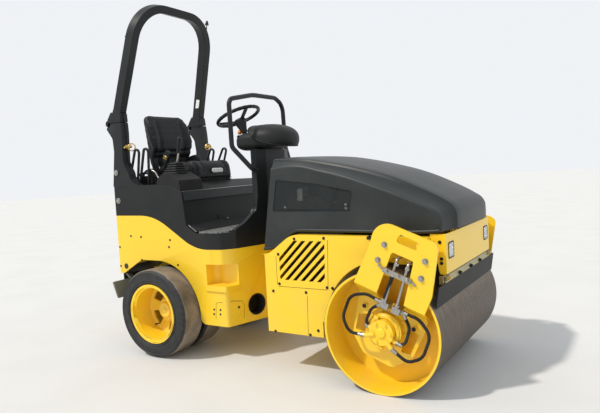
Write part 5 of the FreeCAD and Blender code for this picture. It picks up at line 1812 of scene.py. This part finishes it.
# %% Sidewall rings, rim lip and nuts
def wheel_parts(side):
    body = "wheels_right" if side < 0 else "wheels_left"
    name = body[7:]
    x, z = REAR_AXLE
    bm = bmesh.new()
    for radius, wide, proud in ((0.222, 0.010, 0.0035), (0.246, 0.003, 0.0018), (0.270, 0.003, 0.0018),
                                (0.286, 0.008, 0.0026)):
        turned(bm, [(radius, 0.648), (radius + wide, 0.648), (radius + wide * 0.75, 0.6496 + proud * 0.4),
                    (radius + wide * 0.25, 0.6496 + proud * 0.4)], x, z, side, 96)
    keep("sidewall_rings_" + name, bm, "tyre_rubber", body)
    bm = bmesh.new()
    turned(bm, arc(0.1965, 0.6425, 0.0055, 0, 360, 12)[:-1], x, z, side, 96)
    keep("rim_lip_" + name, bm, "rim_paint", body, 0, 60)
    spots = []
    for k in range(8):
        turn = 2 * math.pi * (k + 0.5) / 8
        spots.append((Vector((x + 0.066 * math.cos(turn), side * 0.474, z + 0.066 * math.sin(turn))), (0, side, 0)))
    bolts("wheel_nuts_" + name, spots, body, "plated_steel", Head=0.011, Height=0.012, Washer=0.015)
    bm = bmesh.new()
    turned(bm, [(0.0, 0.49), (0.046, 0.49), (0.046, 0.508), (0.042, 0.516), (0.018, 0.520), (0.016, 0.527),
                (0.0, 0.528)], x, z, side, 40)
    keep("hub_cap_" + name, bm, "rim_paint", body, 0.001)
    bm = bmesh.new()
    base = Vector((x - 0.105, side * 0.468, z - 0.118))
    rod(bm, base, base + Vector((0.004, side * 0.055, 0.003)), 0.0045, 14, (0.0062, 0.7, 1.0))
    keep("valve_" + name, bm, "bolt_black", body)


def coned_rim(node, body):
    """A copy of a rim whose outer lip falls inwards as a bead seat does."""
    bm = merged(node)
    face = {v: math.hypot(v.co.x - REAR_AXLE[0], v.co.z - REAR_AXLE[1]) for v in bm.verts if abs(v.co.y) > 0.6455}
    for v, reach in face.items():
        if reach < min(face.values()) + 0.002:
            v.co.y -= math.copysign(0.024, v.co.y)
    made = loose(node + "_soft", bm)
    dress(made, "rim_paint", body, 0.0015)
    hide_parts(node)


both(wheel_parts)
coned_rim("rim_right", "wheels_right")
coned_rim("rim_left", "wheels_left")
print("wheel pieces on both sides")

# %% [markdown]
# ## Bolts and seams of the frames
# Screws hold the louvre plate, the covers and the fork arms. Every group is a list of places in the
# side view and a distance out from the middle, so one node tree sets all the heads, on both sides.

# %% Screws on the sides
def on_both(spots, out):
    """Spots (x, z) in millimetres on the right side at a distance out, and mirrored to the left."""
    found = []
    for side in (-1, 1):
        found += [(spot(x / 1000, side * out, z / 1000), (0, side, 0)) for x, z in spots]
    return found


REAR_SCREWS = [(-1180, 843), (-1073, 838), (-1310, 756), (-795, 771), (-780, 822), (-1081, 666), (-719, 645),
               (-1315, 610)]
PLATE_SCREWS = [(271, 853), (480, 861), (146, 753), (143, 565), (487, 563), (526, 560), (93, 516), (337, 523),
                (93, 255), (352, 259), (410, 292), (524, 562)]
bolts("rear_screws", on_both(REAR_SCREWS, 0.5), "rear_frame", "bolt_black", Head=0.0062, Height=0.003, Washer=0.0085)
bolts("plate_screws", on_both(PLATE_SCREWS, 0.5), "front_frame", "bolt_black", Head=0.0068, Height=0.005, Washer=0.0095)
bolts("hood_stays", on_both([(783, 872)], 0.505), "front_frame", "bolt_black", Head=0.011, Height=0.016, Washer=0.013)
bolts("fork_bolts", on_both([(923, 853), (881, 768), (1148, 770), (1122, 679)], 0.620), "front_frame",
      Head=0.0125, Height=0.012, Washer=0.0175)
bolts("flange_screws", on_both([(1173, 848), (1180, 757), (1179, 734)], 0.455), "front_frame", "bolt_black",
      Head=0.007, Height=0.005, Washer=0.010)
print("screws:", len(REAR_SCREWS) + len(PLATE_SCREWS) + 8, "on each side")

# %% [markdown]
# Seams are real gaps on the machine. They could be cut into the solids. Here each is a dark strip
# about a millimetre thick instead, which reads the same and leaves the solids whole.

# %% Seams
SEAMS = [   # x and z of one end, x and z of the other, in millimetres
    (345, 500, 337, 256), (507, 852, 494, 566), (138, 549, 484, 549), (128, 560, 128, 740), (494, 566, 484, 549),
]


def strip(bm, a, b, y, wide=0.0012, proud=0.0006):
    """A thin strip on a side wall between two places (x, z)."""
    a, b = Vector((a[0], 0, a[1])), Vector((b[0], 0, b[1]))
    side = (b - a).normalized().cross(Vector((0, 1, 0))) * wide
    corners = [(p.x, p.z) for p in (a - side, b - side, b + side, a + side)]
    slab(bm, corners, side_on, y - proud, y + proud)


bm = bmesh.new()
for side in (-1, 1):
    for ax, az, bx, bz in SEAMS:
        strip(bm, (ax / 1000, az / 1000), (bx / 1000, bz / 1000), side * 0.5)
keep("plate_seams", bm, "bolt_black", "front_frame")
print("seams:", len(SEAMS), "on each side")

# %% [markdown]
# ## Headlamps
# Each lamp is a black bezel with a pale bowl behind a fluted lens. The bowl and the lens are separate
# pieces, because glass only looks like glass when something bright lies a little way behind it.

# %% Headlamps
LAMP = (0.322, 0.416, 0.751, 0.842)      # across from and to, up from and to


def lamp_outline(side, inset):
    a, b, low, high = LAMP
    return oblong(side * (a + inset), side * (b - inset), low + inset, high - inset, 0.010, 4)


bm, bowl, lens = bmesh.new(), bmesh.new(), bmesh.new()
for side in (-1, 1):
    band(bm, lamp_outline(side, 0.0), lamp_outline(side, 0.0065), front_on, 1.190, 1.2105, loop=True)
    a, b = lamp_outline(side, 0.006), lamp_outline(side, 0.020)
    rim = [bowl.verts.new(front_on(u, v, 1.2050)) for u, v in a]
    deep = [bowl.verts.new(front_on(u, v, 1.1860)) for u, v in b]
    for i in range(len(rim)):
        j = (i + 1) % len(rim)
        bowl.faces.new((rim[i], rim[j], deep[j], deep[i]))
    bowl.faces.new(deep)
    slab(lens, lamp_outline(side, 0.0065), front_on, 1.2072, 1.2098)
bezel = keep("lamp_bezels", bm, "black_plastic", "front_frame", 0.0015)
bowls = keep("lamp_bowls", bowl, "mirror_steel", "front_frame")
lenses = keep("lamp_lenses", lens, "lamp_glass", "front_frame")
for piece in (bezel, bowls, lenses):
    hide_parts("headlamps")
print("headlamps:", len(bezel.data.polygons) + len(bowls.data.polygons) + len(lenses.data.polygons), "faces")

# %% [markdown]
# ## Scraper bar
# Under the nose panel a zinc-plated bar clamps the wiper. It has long slots, so that the wiper can be
# set to the drum, and a bolt in each. Two brackets with brass-coloured screws hold its ends. The slots
# are thin dark slabs on the bar, because at this size a cut would show no more than its dark floor.

# %% Scraper bar
bm = bmesh.new()
slots = [(-0.215, 0.641), (0.011, 0.641), (0.215, 0.641)]
for y, z in slots:
    slab(bm, oblong(y - 0.024, y + 0.024, z - 0.007, z + 0.007, 0.006), front_on, 1.2040, 1.2052)
brick(bm, (1.1995, 1.2072), (-0.455, 0.455), (0.669, 0.6745))
keep("bar_slots", bm, "bolt_black", "front_frame")
forward = Vector((1, 0, 0))
bolts("bar_bolts", [(front_on(y, z, 1.2055), forward) for y, z in slots], "front_frame", "bolt_black",
      Head=0.009, Height=0.010, Washer=0.013)
bm = bmesh.new()
for side in (-1, 1):
    brick(bm, (1.196, 1.2125), (side * 0.470, side * 0.415), (0.640, 0.664))
    brick(bm, (1.172, 1.196), (side * 0.486, side * 0.470), (0.622, 0.668))
keep("bar_brackets", bm, "olive_zinc", "front_frame", 0.0015)
bolts("bracket_screws", [(front_on(side * y, 0.652, 1.213), forward) for side in (-1, 1)
                         for y in (0.430, 0.456)], "front_frame", "gold_zinc",
      Head=0.007, Height=0.008, Washer=0.010)
print("scraper bar:", len(slots), "slots")

# %% [markdown]
# ## Drum drive
# In the fork's window two pipes come down through a clamp. Four hoses leave their manifolds, loop
# round the motor and return into it. Each hose end has a crimped ferrule and a nut. Their places are
# written in the fork's own lean: u across it, v up from the axle.

# %% The fork's own lean
FORK_LEAN = math.radians(21)


def fork_on(u, v, out, side):
    """A place on a fork from u and v in millimetres and a distance out from the middle in metres."""
    x = 0.8625 + (u * math.cos(FORK_LEAN) + v * math.sin(FORK_LEAN)) / 1000
    z = 0.350 + (v * math.cos(FORK_LEAN) - u * math.sin(FORK_LEAN)) / 1000
    return Vector((x + PIVOT, side * out, z))


HOSE_ENDS = [   # u and v of the end, the next corner of the route, and how far out the hose runs
    ((-50, 168), (-150, 176), 0.584), ((-84, -56), (-180, -84), 0.584),
    ((70, 168), (175, 174), 0.584), ((84, -56), (192, -84), 0.584),
    ((-46, 160), (-104, 100), 0.562), ((-84, -8), (-112, -4), 0.562),
    ((74, 160), (138, 96), 0.562), ((92, -22), (144, -18), 0.562),
]
crimps, nuts = bmesh.new(), bmesh.new()
for side in (-1, 1):
    for end, after, out in HOSE_ENDS:
        start = fork_on(*end, out, side)
        run = fork_on(*after, out, side) - start
        way, reach = run.normalized(), min(0.040, run.length * 0.8)
        rod(crimps, start + way * 0.012, start + way * reach, 0.0112, 20, (0.0122, 0.15, 0.7))
        disc(nuts, start + way * 0.001, way, plug(0.0135, 0.013), 6)
keep("hose_crimps", crimps, "plated_steel", "front_frame", 0, 40)
keep("hose_nuts", nuts, "plated_steel", "front_frame", 0.0008)
print("hose ends:", len(HOSE_ENDS), "on each side")

# %% [markdown]
# The pipes are steel, with a rubber sleeve where the clamp grips them, and a nut at each end. The
# clamp is held by three bolts on washers, and two short stubs leave it at the sides. All are rods and
# discs in the fork's lean, and a nut is only a disc of six steps.

# %% Sleeve, clamp bolts and pipe nuts
bm = bmesh.new()
for side in (-1, 1):
    rod(bm, fork_on(-28, 340, 0.614, side), fork_on(-33, 214, 0.614, side), 0.0105)
keep("pipe_sleeves", bm, "black_rubber", "front_frame", 0.001)
bm = bmesh.new()
for side in (-1, 1):
    for u in (-62, 8, 62):
        disc(bm, fork_on(u, 364, 0.640, side), (0, side, 0), plug(0.010, 0.008), 6)
        disc(bm, fork_on(u, 364, 0.636, side), (0, side, 0), plug(0.0145, 0.003), 20)
    rod(bm, fork_on(-92, 366, 0.628, side), fork_on(-120, 377, 0.628, side), 0.007)
    rod(bm, fork_on(88, 363, 0.628, side), fork_on(112, 352, 0.628, side), 0.006)
    for u, v in ((-34, 192), (48, 192), (-25, 408), (37, 408)):
        foot = fork_on(u, v, 0.614, side)
        disc(bm, foot, fork_on(u, v + 10, 0.614, side) - foot, plug(0.0135, 0.016), 6)
keep("pipe_nuts", bm, "plated_steel", "front_frame", 0.0008)
print("pipes, clamps and nuts on both sides")

# %% [markdown]
# The motor is a stack of round flanges, each with its own ring of bolts, and a few cast lumps between
# them. The rings are computed from a count, a radius and a first angle. The lumps are plain boxes with
# a bevel, since a casting shows as soft corners before it shows as anything else.

# %% Motor bolts and castings
ring_spots = []
for side in (-1, 1):
    for count, radius, out, start in ((10, 114, 0.508, 12), (8, 88, 0.545, 0), (6, 56, 0.584, 20)):
        for k in range(count):
            turn = math.radians(start + 360 * k / count)
            ring_spots.append((fork_on(radius * math.cos(turn), radius * math.sin(turn), out, side), (0, side, 0)))
bolts("motor_bolts", ring_spots, "front_frame", "yellow_paint", Head=0.0085, Height=0.008, Washer=0.0115)
bm = bmesh.new()
for side in (-1, 1):
    disc(bm, fork_on(0, 0, 0.583, side), (0, side, 0),
         [(0, 0), (0.030, 0), (0.027, 0.010), (0.012, 0.013), (0, 0.013)], 28)
    disc(bm, fork_on(0, 0, 0.545, side), (0, side, 0),
         [(0.074, 0), (0.098, 0), (0.095, 0.006), (0.080, 0.008), (0.074, 0.006)], 48)
    for u, v, wide, tall in ((-58, 64, 26, 20), (62, -52, 24, 30), (10, -86, 40, 18)):
        box = [fork_on(u + a * wide / 2, v + b * tall / 2, out, side) for out in (0.540, 0.572)
               for a, b in ((-1, -1), (1, -1), (1, 1), (-1, 1))]
        verts = [bm.verts.new(p) for p in box]
        for quad in ((0, 1, 2, 3), (7, 6, 5, 4), (0, 4, 5, 1), (1, 5, 6, 2), (2, 6, 7, 3), (3, 7, 4, 0)):
            bm.faces.new([verts[i] for i in quad])
keep("motor_castings", bm, "yellow_paint", "front_frame", 0.003)
bm = bmesh.new()
for side in (-1, 1):
    for u, v in ((-168, 69), (145, 73)):
        disc(bm, fork_on(u, v, 0.5018, side), (0, side, 0),
             [(0, 0), (0.0125, 0), (0.0125, 0.004), (0.006, 0.005), (0, 0.002)], 24)
keep("buffer_caps", bm, "bolt_black", "front_frame")
print("motor bolts:", len(ring_spots))

# %% [markdown]
# ## Floor
# The ground is one wide disc at Z = 0, where the tyres stand. A square would do as well, but a disc
# has no corner that a low camera could catch.

# %% Floor
FLOOR_RADIUS = 40.0
floor_mesh = bpy.data.meshes.new("floor")
bm = bmesh.new()
bmesh.ops.create_circle(bm, cap_ends=True, radius=FLOOR_RADIUS, segments=96)
bm.to_mesh(floor_mesh)
bm.free()
floor = bpy.data.objects.new("floor", floor_mesh)
floor_mesh.materials.append(finishes["floor_grey"].material)
scene.collection.objects.link(floor)
floor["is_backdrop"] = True
print("floor:", 2 * FLOOR_RADIUS, "m across")

# %% [markdown]
# Last, the size of the box around what is shown is printed.

# %% Sizes and the end
low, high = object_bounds()
print("shown size", [round(b - a, 3) for a, b in zip(low, high)])
